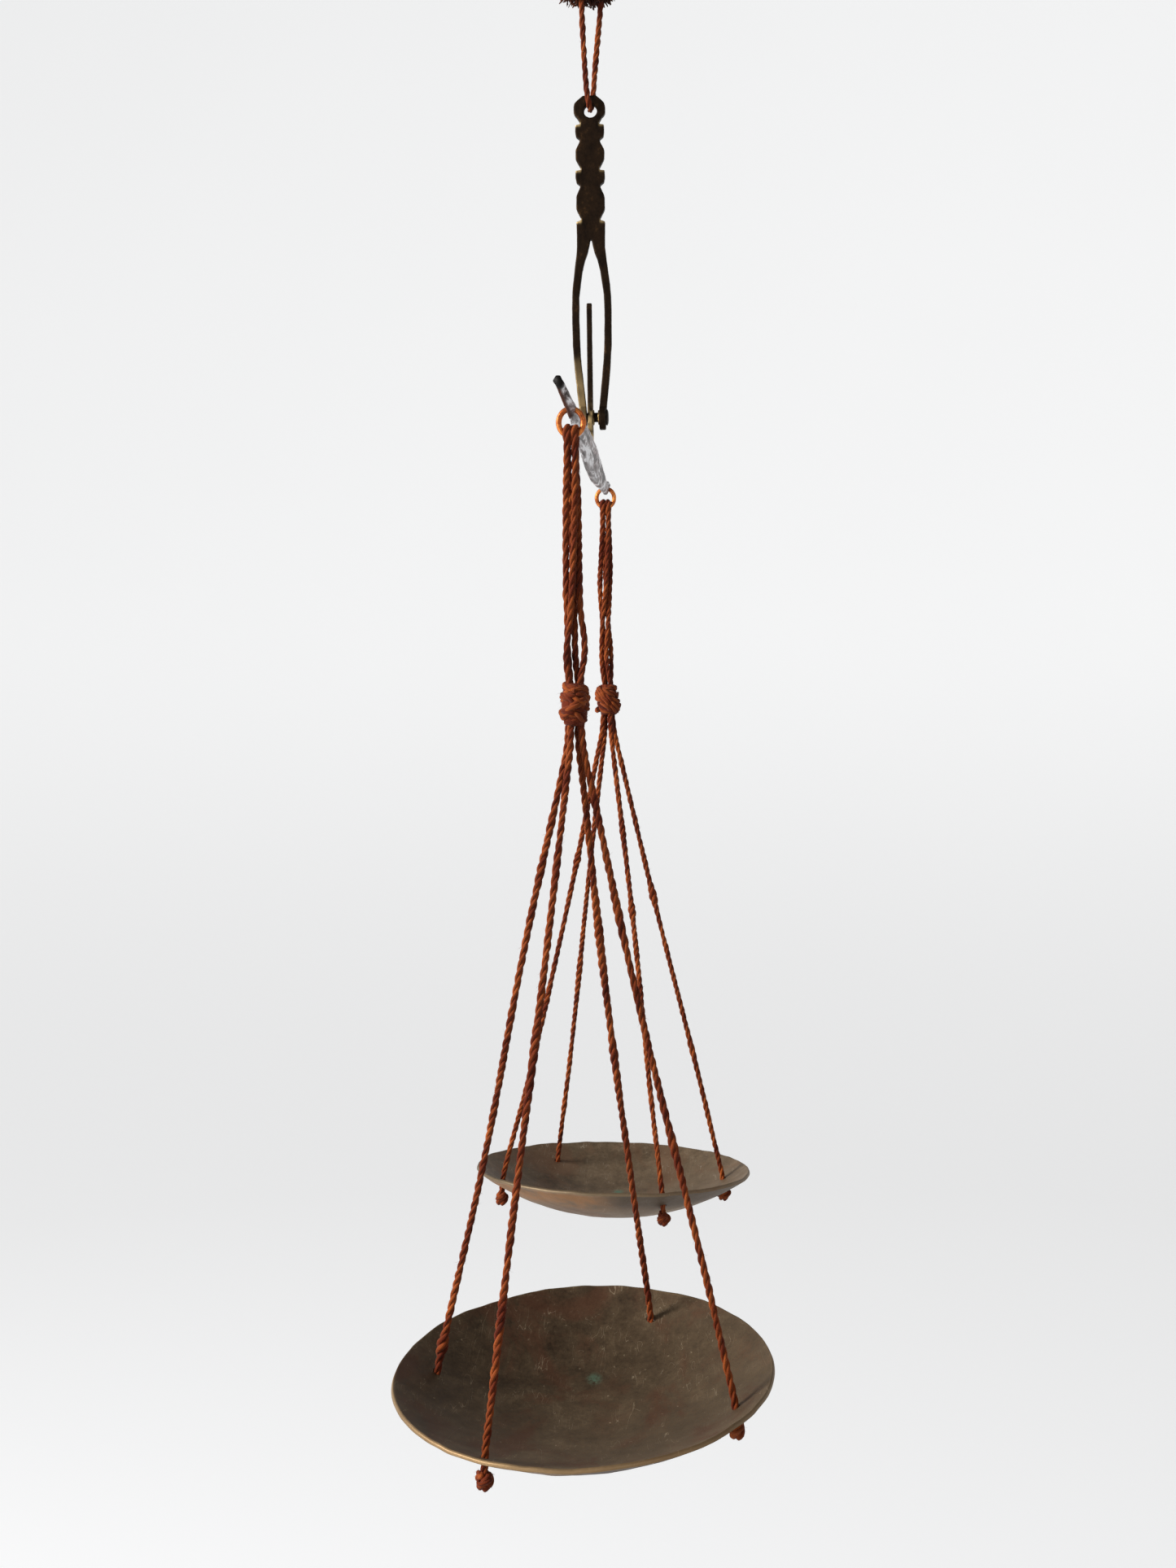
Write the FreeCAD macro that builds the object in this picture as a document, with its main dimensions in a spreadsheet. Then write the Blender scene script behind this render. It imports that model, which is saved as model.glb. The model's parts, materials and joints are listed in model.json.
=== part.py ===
import FreeCAD, Part
import math
import os
import Sketcher

# A small hand-held balance that hangs by a cord: shears with a forked end, a beam with a tongue
# that turns on the shears' pin, and two dished pans hung from wire rings by knotted cords.
# Millimetres and degrees, +Z up, the beam along X. The origin is the inside of the finger loop's
# top, where the balance is held.

SIZES = (
    # finger loop, tuft and hanging cord
    ("cord_dia", 1.3, "finger loop, hanging cord and hanger loops"),
    ("loop_rise", 18, "inside of the loop's top above the tuft"),
    ("tuft_dia", 20, ""),
    ("tuft_tall", 20, ""),
    ("tuft_end_dia", 11, "flat top and bottom of the tuft"),
    ("tuft_to_eye", 24.6, "tuft's bottom to the centre of the shears' hole"),
    # shears
    ("shears_length", 69.2, "eye hole to pin"),
    ("shears_thick", 2, ""),
    ("eye_hole_dia", 3.1, ""),
    ("eye_width", 7.2, ""),
    ("eye_rise", 3.5, "top of the eye above its hole"),
    ("eye_flat", 3, "width of the eye's flat top"),
    ("eye_shoulder", 1.8, "upper corners above the hole"),
    ("eye_hip", 0.8, "lower corners below the hole"),
    ("first_neck", 2.9, "notches below the hole"),
    ("second_neck", 13.1, ""),
    ("third_neck", 24.4, ""),
    ("neck_width", 4.4, ""),
    ("collar_width", 6.6, ""),
    ("collar_tall", 2.9, ""),
    ("collar_slope", 0.22, "height of a collar's slanted top"),
    ("waist_width", 4.7, ""),
    ("waist_drop", 0.9, "collar's foot to the waist"),
    ("lobe_width", 6.3, ""),
    ("lobe_slope", 2, "height of a lobe's slanted ends"),
    ("crotch_drop", 28.9, "eye hole to the fork's crotch"),
    ("bow_drop", 45.2, "eye hole to the fork's widest place"),
    ("bow_width", 9, ""),
    ("tine_width", 1.65, "a tine at the fork's widest place"),
    ("fork_gap", 2.9, "between the tines at the pin"),
    ("tine_end", 1.5, "a tine's thickness along the pin"),
    ("tine_eye_dia", 5, ""),
    # pin and washer
    ("pin_dia", 2.2, ""),
    ("pin_head_dia", 3.6, ""),
    ("pin_head_thick", 0.5, ""),
    ("washer_dia", 3.4, ""),
    ("washer_thick", 0.3, ""),
    ("run_clear", 0.05, "radial clearance on the pin"),
    # tongue
    ("tongue_rise", 26, "pin to the tongue's tip"),
    ("tongue_thick", 1.2, ""),
    ("tongue_tip", 1.3, "width at the tip"),
    ("tongue_blade", 3.7, "width just above the pin"),
    ("tongue_foot", 4.2, "width at the pin and below"),
    ("tongue_offset", 0.6, "tongue, beam and pans stand this far to the front of the shears"),
    ("boss_dia", 3.4, ""),
    ("boss_thick", 0.3, ""),
    ("tenon_deep", 2.4, "tongue's foot in the beam"),
    # beam
    ("beam_reach", 75, "pin to each ring hole"),
    ("beam_drop", 4.9, "pin to the beam's top edge"),
    ("beam_tall", 8.8, ""),
    ("beam_flat", 7, "half the length of full height"),
    ("beam_thick", 2.8, ""),
    ("beam_end_tall", 3, ""),
    ("beam_end_thick", 1.9, ""),
    ("beam_taper", 7.5, "ring hole back to where the beam is thinnest"),
    ("hook_drop", 8.7, "pin to the line of the ring holes"),
    ("hook_hole_dia", 1.6, ""),
    ("tip_length", 10, "ring hole to the beam's tip"),
    ("right_tip_rise", 4.5, ""),
    ("left_tip_rise", 1.9, ""),
    ("tip_tall", 2, ""),
    # rings
    ("ring_dia", 5.1, "to the middle of the wire"),
    ("wire_dia", 1.1, ""),
    ("loop_gap", 0.06, "between the two cord loops over a ring's wire"),
    ("loop_clear", 0.155, "cord loop over the wire, where its bends are rounded"),
    # gathering knots
    ("right_knot_drop", 53.8, "ring's centre to the knot's"),
    ("left_knot_drop", 54.4, ""),
    ("knot_tall", 8.5, ""),
    ("knot_dia", 6, ""),
    ("knot_end_dia", 4.6, ""),
    # pan strings
    ("string_dia", 1.4, ""),
    ("string_gap", 0.05, "between the two nearest strings in the knot"),
    ("string_straight", 3, "below the knot before a string slants"),
    ("string_tail", 3.6, "pan's sheet to the middle of a stopper knot"),
    ("stopper_dia", 3.2, ""),
    # pans
    ("right_pan_drop", 131, "knot's centre to the pan's rim"),
    ("left_pan_drop", 129.2, ""),
    ("pan_dia", 75, ""),
    ("pan_deep", 12, ""),
    ("pan_sheet", 0.9, ""),
    ("hole_circle", 62.4, "diameter through the string holes"),
    ("hole_clear", 0.3, "radial clearance round a string"),
)

doc = FreeCAD.newDocument("Balance")
sheet = doc.addObject("Spreadsheet::Sheet", "Dims")
for row, (name, value, note) in enumerate(SIZES, 1):
    sheet.set(f"A{row}", name)
    sheet.set(f"B{row}", str(value))
    sheet.set(f"C{row}", note)
    sheet.setAlias(f"B{row}", name)
doc.recompute()

# Heights above the origin, as expressions on the sheet.
TUFT_HEIGHT = "-(Dims.loop_rise + Dims.tuft_tall / 2)"
EYE_HEIGHT = "-(Dims.loop_rise + Dims.tuft_tall + Dims.tuft_to_eye)"
PIN_HEIGHT = f"({EYE_HEIGHT} - Dims.shears_length)"
RING_HEIGHT = f"({PIN_HEIGHT} - Dims.hook_drop - Dims.ring_dia / 2)"
KNOT_HEIGHT = {side: f"({RING_HEIGHT} - Dims.{side}_knot_drop)" for side in ("right", "left")}
RIM_HEIGHT = {side: f"({height} - Dims.{side}_pan_drop)" for side, height in KNOT_HEIGHT.items()}
BOWL_RADIUS = "((Dims.pan_dia ^ 2 / 4 + Dims.pan_deep ^ 2) / (2 * Dims.pan_deep))"

SIDES = {
    # direction along X, the pan's lean about Y and about X, and where its string holes are
    "right": {"along": 1, "lean": 6.8, "cant": 2.0, "holes": (72, 156, 256, 327)},
    "left": {"along": -1, "lean": -3.9, "cant": -1.6, "holes": (27, 102, 213.5, 286)},
}

# Routes of the cords. A hanger's strands run from the ring down to the gathering knot, and each
# row is the height from the ring's centre, then Y, then X. The first two strands of a side make
# one loop over the ring's wire, and the last two make the other.
STRANDS = {
    "right": (
        ((-6, -0.75, 1.25), (-16, -1.15, 0.95), (-28, -1.35, 0.35),
         (-38, -1.2, -0.3), (-44, -1.25, -0.75), (-50.8, -0.75, -0.75)),
        ((-6, -0.75, -1.25), (-16, -0.5, -1.3), (-28, -0.05, -1.25),
         (-38, 0.2, -1.05), (-44, 0.1, -0.85), (-50.8, 0.8, -0.75)),
        ((-6, 0.75, 1.25), (-16, 0.6, 1.25), (-28, 0.1, 1.3),
         (-38, -0.55, 1.15), (-44, -1.6, 0.65), (-50.8, -0.8, 0.75)),
        ((-6, 0.75, -1.25), (-16, 1.25, -0.7), (-28, 1.1, 0.1),
         (-36, 1.25, 0.35), (-43, 2.45, 0.3), (-50.8, 0.85, 0.75)),
    ),
    "left": (
        ((-6, -0.75, 1.25), (-15, -1.3, 0.9), (-25, -1.9, 0.1),
         (-34, -1.2, -0.9), (-43, -0.3, -1.2), (-50.8, -0.75, -0.75)),
        ((-6, -0.75, -1.25), (-15, -0.5, -1.25), (-25, -0.2, -1.2),
         (-34, 0.4, -0.7), (-43, 1.2, -0.1), (-50.8, 0.8, -0.75)),
        ((-6, 0.75, 1.25), (-15, 0.45, 1.3), (-25, -0.15, 1.15),
         (-34, -1.3, 0.75), (-43, -1.7, -0.1), (-50.8, -0.8, 0.75)),
        ((-6, 0.75, -1.25), (-15, 1.15, -0.4), (-25, 0.95, 0.1),
         (-34, 0.35, 1.0), (-43, -0.4, 1.0), (-50.8, 0.85, 0.75)),
    ),
}
STRAND_END = -53  # a strand ends this far below the ring's centre, inside the knot
STRAND_PINCH = 0.98  # a strand's end is drawn in toward the knot's axis

# The finger loop, from the tuft round to the tuft again: X, Y, Z from the origin.
FINGER_ROUTE = (
    (0, -1.4, -20.5), (0, -2.6, -15.5), (0.2, -5.5, -9.5), (0.3, -5.4, -3.2), (0.1, -2.2, 0.65),
    (0, 2.0, 0.65), (-0.2, 5.6, -3.4), (-0.3, 5.2, -10), (0, 2.4, -15.5), (0, 1.4, -20.5),
)
# The hanging cord, from the tuft through the shears' hole and back: X, Y, Z from the hole.
HANGING_ROUTE = (
    (0.8, -1.5, 26.6), (1.5, -1.4, 21.5), (2.0, -0.95, 11), (2.0, -0.5, 3.6), (2.0, 0.1, 0.45),
    (-2.0, 0.1, 0.45), (-2.0, 0.8, 3.6), (-1.9, 1.35, 11), (-1.4, 2.55, 21.5), (-0.8, 3.1, 26.6),
)


def worth(expression):
    """The number that an expression on the sheet comes to."""
    return float(sheet.evalExpression(expression))


def bind(thing, **expressions):
    """Bind properties of an object to expressions on the sheet."""
    for name, expression in expressions.items():
        thing.setExpression(name.replace("__", "."), expression)


# Sketches


def make_body(label):
    body = doc.addObject("PartDesign::Body", label)
    body.Label = label
    return body


def make_sketch(body, role):
    """An empty sketch on one of the body's own origin planes."""
    sketch = body.newObject("Sketcher::SketchObject", f"{body.Name}_sketch")
    plane = next(item for item in body.Origin.OriginFeatures if item.Role == role)
    sketch.AttachmentSupport = (plane, "")
    sketch.MapMode = "FlatFace"
    return sketch


def pin_down(sketch, geometry, point, across, up):
    """Tie a point of a sketch to two expressions."""
    for kind, expression in (("DistanceX", across), ("DistanceY", up)):
        rule = Sketcher.Constraint(kind, -1, 1, geometry, point, worth(expression))
        number = sketch.addConstraint(rule)
        sketch.setExpression(f"Constraints[{number}]", expression)


def draw_outline(sketch, corners):
    """A closed outline of straight lines, each corner tied to its own expressions."""
    places = [FreeCAD.Vector(worth(x), worth(y), 0) for x, y in corners]
    first = sketch.GeometryCount
    for here, there in zip(places, places[1:] + places[:1]):
        sketch.addGeometry(Part.LineSegment(here, there))
    for number, (across, up) in enumerate(corners):
        after = first + (number + 1) % len(corners)
        sketch.addConstraint(Sketcher.Constraint("Coincident", first + number, 2, after, 1))
        pin_down(sketch, first + number, 1, across, up)


def draw_circle(sketch, across, up, diameter):
    centre = FreeCAD.Vector(worth(across), worth(up), 0)
    circle = Part.Circle(centre, FreeCAD.Vector(0, 0, 1), worth(diameter) / 2)
    geometry = sketch.addGeometry(circle)
    pin_down(sketch, geometry, 3, across, up)
    rule = Sketcher.Constraint("Diameter", geometry, worth(diameter))
    number = sketch.addConstraint(rule)
    sketch.setExpression(f"Constraints[{number}]", diameter)


def both_ways(corners):
    """Corners on the positive side, from the top down, and their mirror images back up."""
    return list(corners) + [(f"-({x})", y) for x, y in reversed(corners)]


def add_feature(body, kind, sketch, **expressions):
    feature = body.newObject(f"PartDesign::{kind}", f"{body.Name}_{kind.lower()}")
    feature.Profile = sketch
    bind(feature, **expressions)
    return feature


def add_pad(body, sketch, length, kind="Pad"):
    """A pad or a pocket with the sketch's plane in its middle."""
    feature = add_feature(body, kind, sketch, Length=length)
    feature.Midplane = True
    return feature


def add_turning(body, sketch):
    """A full turn about the sketch's upright axis."""
    turning = add_feature(body, "Revolution", sketch)
    turning.ReferenceAxis = (sketch, ["V_Axis"])
    turning.Angle = 360
    return turning


def make_barrel(label, tall, diameter, end_diameter):
    """A body turned about Z, widest over its middle third."""
    body = make_body(label)
    sketch = make_sketch(body, "XZ_Plane")
    corners = [
        ("0", f"{tall} / 2"),
        (f"{end_diameter} / 2", f"{tall} / 2"),
        (f"{diameter} / 2", f"{tall} / 6"),
        (f"{diameter} / 2", f"-{tall} / 6"),
        (f"{end_diameter} / 2", f"-{tall} / 2"),
        ("0", f"-{tall} / 2"),
    ]
    draw_outline(sketch, corners)
    add_turning(body, sketch)
    return body


def stand(thing, across="0", away="0", up="0"):
    """Put an object at a place given by expressions."""
    bind(thing, Placement__Base__x=across, Placement__Base__y=away, Placement__Base__z=up)


# Cords


def route_wire(points):
    """Straight runs joined by tangent arcs, as one wire, and the arcs' radii."""
    places = [FreeCAD.Vector(*point) for point in points]
    edges = []
    radii = []
    start = places[0]
    for before, corner, after in zip(places, places[1:], places[2:]):
        back = before - corner
        ahead = after - corner
        half_turn = (math.pi - back.getAngle(ahead)) / 2
        cut = 0.45 * min(back.Length, ahead.Length)
        radius = cut / math.tan(half_turn)
        enter = corner + back.normalize() * cut
        leave = corner + ahead.normalize() * cut
        inward = (back + ahead).normalize()
        middle = corner + inward * (radius / math.cos(half_turn) - radius)
        edges.append(Part.LineSegment(start, enter).toShape())
        edges.append(Part.Arc(enter, middle, leave).toShape())
        radii.append(radius)
        start = leave
    edges.append(Part.LineSegment(start, places[-1]).toShape())
    return Part.Wire(edges), radii


def make_cord(label, points, diameter, place=FreeCAD.Placement()):
    """A cord's tube along its route. Prints its length, its radii and how true its volume is."""
    wire, radii = route_wire(points)
    first = FreeCAD.Vector(*points[0])
    heading = FreeCAD.Vector(*points[1]) - first
    section = Part.Wire(Part.Circle(first, heading, diameter / 2).toShape())
    cord = doc.addObject("Part::Feature", label)
    cord.Label = label
    cord.Shape = wire.makePipeShell([section], True, False)
    cord.Placement = place
    full = math.pi * diameter ** 2 / 4 * wire.Length
    print(
        f"{label}: {wire.Length:.1f} long, radii", " ".join(f"{r:.1f}" for r in radii),
        f"volume {cord.Shape.Volume / full:.4f} of section times length",
    )
    return cord


# Sub-parts


def make_shears():
    """One flat plate: an eye, two collared lobes, and a fork whose tines end in flattened eyes."""
    body = make_body("shears")
    tiers = []
    for neck, next_neck in (("first_neck", "second_neck"), ("second_neck", "third_neck")):
        foot = f"-(Dims.{neck} + Dims.collar_tall)"
        waist = f"({foot} - Dims.waist_drop)"
        tiers += [
            ("Dims.neck_width / 2", f"-Dims.{neck}"),
            ("Dims.collar_width / 2", f"-Dims.{neck} - Dims.collar_slope"),
            ("Dims.collar_width / 2", foot),
            ("Dims.waist_width / 2", waist),
            ("Dims.lobe_width / 2", f"{waist} - Dims.lobe_slope"),
            ("Dims.lobe_width / 2", f"-Dims.{next_neck} + Dims.lobe_slope"),
        ]
    outside = [
        ("Dims.eye_flat / 2", "Dims.eye_rise"),
        ("Dims.eye_width / 2", "Dims.eye_shoulder"),
        ("Dims.eye_width / 2", "-Dims.eye_hip"),
        *tiers,
        ("Dims.neck_width / 2", "-Dims.third_neck"),
        ("Dims.collar_width / 2", "-Dims.third_neck - Dims.collar_slope"),
        ("Dims.lobe_width / 2", "-Dims.crotch_drop"),
        ("Dims.bow_width / 2", "-Dims.bow_drop"),
        ("Dims.fork_gap / 2 + Dims.tine_end", "-Dims.shears_length"),
    ]
    inside = [
        ("Dims.fork_gap / 2", "-Dims.shears_length"),
        ("Dims.bow_width / 2 - Dims.tine_width", "-Dims.bow_drop"),
    ]
    corners = both_ways(outside + inside)
    corners.insert(len(outside + inside), ("0", "-Dims.crotch_drop"))
    plate = make_sketch(body, "YZ_Plane")
    draw_outline(plate, corners)
    draw_circle(plate, "0", "0", "Dims.eye_hole_dia")
    add_pad(body, plate, "Dims.shears_thick")
    # the tines' eyes are one round bar along the pin until the gap between them is cut
    eyes = make_sketch(body, "XZ_Plane")
    draw_circle(eyes, "0", "-Dims.shears_length", "Dims.tine_eye_dia")
    add_pad(body, eyes, "Dims.fork_gap + 2 * Dims.tine_end")
    gap = make_sketch(body, "XZ_Plane")
    draw_circle(gap, "0", "-Dims.shears_length", "2 * Dims.tine_eye_dia")
    add_pad(body, gap, "Dims.fork_gap", "Pocket")
    bore = make_sketch(body, "XZ_Plane")
    draw_circle(bore, "0", "-Dims.shears_length", "Dims.pin_dia")
    add_pad(body, bore, "2 * Dims.bow_width", "Pocket")
    stand(body, up=EYE_HEIGHT)
    return body


def make_pin():
    """The pin that the beam turns on, flush in one tine and headed over the other."""
    body = make_body("pivot_pin")
    sketch = make_sketch(body, "XY_Plane")
    face = "(Dims.fork_gap / 2 + Dims.tine_end)"
    corners = [
        ("0", f"-{face}"),
        ("Dims.pin_dia / 2", f"-{face}"),
        ("Dims.pin_dia / 2", face),
        ("Dims.pin_head_dia / 2", face),
        ("Dims.pin_head_dia / 2", f"{face} + Dims.pin_head_thick"),
        ("0", f"{face} + Dims.pin_head_thick"),
    ]
    draw_outline(sketch, corners)
    add_turning(body, sketch)
    stand(body, up=PIN_HEIGHT)
    return body


def make_washer():
    """The thin washer that keeps the tongue's boss off the back tine."""
    body = make_body("pivot_washer")
    sketch = make_sketch(body, "XZ_Plane")
    draw_circle(sketch, "0", "0", "Dims.washer_dia")
    draw_circle(sketch, "0", "0", "Dims.pin_dia")
    add_pad(body, sketch, "Dims.washer_thick")
    stand(body, away="Dims.fork_gap / 2 - Dims.washer_thick / 2", up=PIN_HEIGHT)
    return body


def make_tongue():
    """The pointer: a blade over the pin's bore, and a foot that is let into the beam."""
    body = make_body("tongue")
    blade = make_sketch(body, "XZ_Plane")
    side = [
        ("Dims.tongue_tip / 4", "Dims.tongue_rise"),
        ("Dims.tongue_tip / 2", "Dims.tongue_rise - Dims.tongue_tip / 2"),
        ("Dims.tongue_blade / 2", "Dims.pin_dia"),
        ("Dims.tongue_foot / 2", "0"),
        ("Dims.tongue_foot / 2", "-(Dims.beam_drop + Dims.tenon_deep)"),
    ]
    draw_outline(blade, both_ways(side))
    add_pad(body, blade, "Dims.tongue_thick")
    boss = make_sketch(body, "XZ_Plane")
    draw_circle(boss, "0", "0", "Dims.boss_dia")
    collar = add_feature(body, "Pad", boss, Length="Dims.tongue_thick / 2 + Dims.boss_thick")
    collar.Reversed = True
    bore = make_sketch(body, "XZ_Plane")
    draw_circle(bore, "0", "0", "Dims.pin_dia + 2 * Dims.run_clear")
    add_pad(body, bore, "4 * Dims.tongue_thick", "Pocket")
    stand(body, away="-Dims.tongue_offset", up=PIN_HEIGHT)
    return body


def make_beam():
    """The balance arm: deepest at its middle, thinner at its ends, with tips that turn up."""
    body = make_body("beam")
    end = "(Dims.beam_reach + Dims.tip_length)"
    outline = []
    for along, rise in (("", "Dims.right_tip_rise"), ("-", "Dims.left_tip_rise")):
        half = [
            ("Dims.beam_flat", "-(Dims.beam_drop + Dims.beam_tall)"),
            ("Dims.beam_reach", "-Dims.hook_drop - Dims.beam_end_tall / 2"),
            (end, f"-Dims.hook_drop + {rise} - Dims.tip_tall / 2"),
            (end, f"-Dims.hook_drop + {rise} + Dims.tip_tall / 2"),
            ("Dims.beam_reach", "-Dims.hook_drop + Dims.beam_end_tall / 2"),
            ("Dims.beam_flat", "-Dims.beam_drop"),
        ]
        half = [(f"{along}{x}", y) for x, y in half]
        outline += reversed(half) if along else half
    side_view = make_sketch(body, "XZ_Plane")
    draw_outline(side_view, outline)
    add_pad(body, side_view, "Dims.beam_thick")
    # each end is thinned on both faces
    plan = make_sketch(body, "XY_Plane")
    for along in ("", "-"):
        for face in ("", "-"):
            draw_outline(plan, [
                (f"{along}Dims.beam_flat", f"{face}Dims.beam_thick / 2"),
                (f"{along}(Dims.beam_reach - Dims.beam_taper)", f"{face}Dims.beam_end_thick / 2"),
                (f"{along}({end} + Dims.tip_length)", f"{face}Dims.beam_end_thick / 2"),
                (f"{along}({end} + Dims.tip_length)", f"{face}Dims.beam_thick"),
                (f"{along}Dims.beam_flat", f"{face}Dims.beam_thick"),
            ])
    add_pad(body, plan, "4 * (Dims.beam_drop + Dims.beam_tall)", "Pocket")
    holes = make_sketch(body, "XZ_Plane")
    for along in ("", "-"):
        draw_circle(holes, f"{along}Dims.beam_reach", "-Dims.hook_drop", "Dims.hook_hole_dia")
    add_pad(body, holes, "2 * Dims.beam_thick", "Pocket")
    mortise = make_sketch(body, "XZ_Plane")
    draw_outline(mortise, both_ways([
        ("Dims.tongue_foot / 2", "0"),
        ("Dims.tongue_foot / 2", "-(Dims.beam_drop + Dims.tenon_deep)"),
    ]))
    add_pad(body, mortise, "Dims.tongue_thick", "Pocket")
    stand(body, away="-Dims.tongue_offset", up=PIN_HEIGHT)
    return body


def make_ring(side):
    """A wire ring through the beam's end, its plane across the beam."""
    ring = doc.addObject("Part::Torus", f"{side}_ring")
    ring.Label = f"{side}_ring"
    bind(ring, Radius1="Dims.ring_dia / 2", Radius2="Dims.wire_dia / 2")
    ring.Placement.Rotation = FreeCAD.Rotation(FreeCAD.Vector(0, 1, 0), 90)
    along = SIDES[side]["along"]
    stand(ring, f"{along} * Dims.beam_reach", "-Dims.tongue_offset", RING_HEIGHT)
    return ring


def make_hanger(side):
    """The two cord loops over a ring's wire. Each comes up from the knot and goes back to it."""
    place = FreeCAD.Placement()
    place.Base = side_point(side, worth(RING_HEIGHT))
    wire_side = worth("(Dims.cord_dia + Dims.loop_gap) / 2")
    wire_round = worth("(Dims.wire_dia + Dims.cord_dia) / 2 + Dims.loop_clear")
    wire_low = -math.sqrt(worth("Dims.ring_dia / 2") ** 2 - wire_side ** 2)
    strands = STRANDS[side]
    loops = []
    for number, (name, away) in enumerate((("front", -wire_side), ("back", wire_side))):
        over = [(x, away, wire_low + wire_round) for x in (wire_round, -wire_round)]
        ends = []
        for strand in strands[2 * number:2 * number + 2]:
            last = strand[-1]
            rows = strand + ((STRAND_END, last[1], last[2] * STRAND_PINCH),)
            ends.append([(x, y, z) for z, y, x in rows])
        points = ends[0][::-1] + over + ends[1]
        loops.append(make_cord(f"{side}_hanger_{name}", points, worth("Dims.cord_dia"), place))
    return loops


def side_point(side, height):
    """A point under one of the ring holes."""
    along = SIDES[side]["along"] * worth("Dims.beam_reach")
    return FreeCAD.Vector(along, -worth("Dims.tongue_offset"), height)


def pan_place(side):
    """Where a pan is: its rim's centre, and its lean."""
    lean = FreeCAD.Rotation(FreeCAD.Vector(0, 1, 0), SIDES[side]["lean"])
    cant = FreeCAD.Rotation(FreeCAD.Vector(1, 0, 0), SIDES[side]["cant"])
    return FreeCAD.Placement(side_point(side, worth(RIM_HEIGHT[side])), lean * cant)


def string_spread():
    """How far the strings stand from the knot's axis, so that the nearest two don't touch."""
    turns = []
    for settings in SIDES.values():
        holes = settings["holes"]
        turns += [(there - here) % 360 for here, there in zip(holes, holes[1:] + holes[:1])]
    return worth("Dims.string_dia + Dims.string_gap") / 2 / math.sin(math.radians(min(turns) / 2))


def string_route(side, angle):
    """A pan string from inside the knot, through its hole, to the middle of its stopper knot."""
    turn = math.radians(angle)
    outward = FreeCAD.Vector(math.cos(turn), math.sin(turn), 0)
    hole = outward * (worth("Dims.hole_circle") / 2)
    middle = worth(f"{BOWL_RADIUS} - Dims.pan_sheet / 2")
    hole.z = worth(f"{BOWL_RADIUS} - Dims.pan_deep") - math.sqrt(middle ** 2 - hole.Length ** 2)
    hole = pan_place(side).multVec(hole)
    start = side_point(side, worth(KNOT_HEIGHT[side])) + outward * string_spread()
    knot_foot = worth("Dims.knot_tall") / 2
    inside = start - FreeCAD.Vector(0, 0, knot_foot / 2)
    below = start - FreeCAD.Vector(0, 0, knot_foot + worth("Dims.string_straight"))
    return [inside, below, hole, hole - FreeCAD.Vector(0, 0, worth("Dims.string_tail"))]


def make_strings(side):
    """Four pan strings, each with the knot that stops it under the pan."""
    made = []
    for number, angle in enumerate(SIDES[side]["holes"], 1):
        route = string_route(side, angle)
        made.append(make_cord(f"{side}_string_{number}", route, worth("Dims.string_dia")))
        stopper = doc.addObject("Part::Sphere", f"{side}_stopper_{number}")
        stopper.Label = f"{side}_stopper_{number}"
        bind(stopper, Radius="Dims.stopper_dia / 2")
        stopper.Placement.Base = route[-1]
        made.append(stopper)
    return made


def make_pan(side):
    """A dished pan: a slice of a hollow ball, drilled along its four strings."""
    outer = doc.addObject("Part::Sphere", f"{side}_bowl")
    rim_angle = f"-acos({BOWL_RADIUS} ^ -1 * Dims.pan_dia / 2)"
    bind(outer, Radius=BOWL_RADIUS, Angle2=rim_angle)
    inner = doc.addObject("Part::Sphere", f"{side}_hollow")
    bind(inner, Radius=f"{BOWL_RADIUS} - Dims.pan_sheet")
    place = pan_place(side)
    rise = FreeCAD.Vector(0, 0, worth(f"{BOWL_RADIUS} - Dims.pan_deep"))
    centre = place.multiply(FreeCAD.Placement(rise, FreeCAD.Rotation()))
    outer.Placement = centre
    inner.Placement = centre
    tools = [inner]
    for number, angle in enumerate(SIDES[side]["holes"], 1):
        route = string_route(side, angle)
        slant = route[2] - route[1]
        drill = doc.addObject("Part::Cylinder", f"{side}_drill_{number}")
        bind(drill, Radius="Dims.string_dia / 2 + Dims.hole_clear", Height="8 * Dims.pan_sheet")
        turned = FreeCAD.Rotation(FreeCAD.Vector(0, 0, 1), slant)
        start = route[2] - slant.normalize() * worth("4 * Dims.pan_sheet")
        drill.Placement = FreeCAD.Placement(start, turned)
        tools.append(drill)
    waste = doc.addObject("Part::MultiFuse", f"{side}_waste")
    waste.Shapes = tools
    pan = doc.addObject("Part::Cut", f"{side}_pan")
    pan.Label = f"{side}_pan"
    pan.Base = outer
    pan.Tool = waste
    return pan


tuft = make_barrel("hand_tuft", "Dims.tuft_tall", "Dims.tuft_dia", "Dims.tuft_end_dia")
stand(tuft, up=TUFT_HEIGHT)
eye_place = FreeCAD.Placement(FreeCAD.Vector(0, 0, worth(EYE_HEIGHT)), FreeCAD.Rotation())
cord = worth("Dims.cord_dia")
subparts = [
    tuft,
    make_cord("finger_loop", FINGER_ROUTE, cord),
    make_cord("hanging_cord", HANGING_ROUTE, cord, eye_place),
    make_shears(),
    make_pin(),
    make_washer(),
    make_tongue(),
    make_beam(),
]
for side in SIDES:
    knot = make_barrel(f"{side}_knot", "Dims.knot_tall", "Dims.knot_dia", "Dims.knot_end_dia")
    along = SIDES[side]["along"]
    stand(knot, f"{along} * Dims.beam_reach", "-Dims.tongue_offset", KNOT_HEIGHT[side])
    subparts += [make_ring(side), *make_hanger(side), knot, *make_strings(side), make_pan(side)]
doc.recompute()

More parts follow.
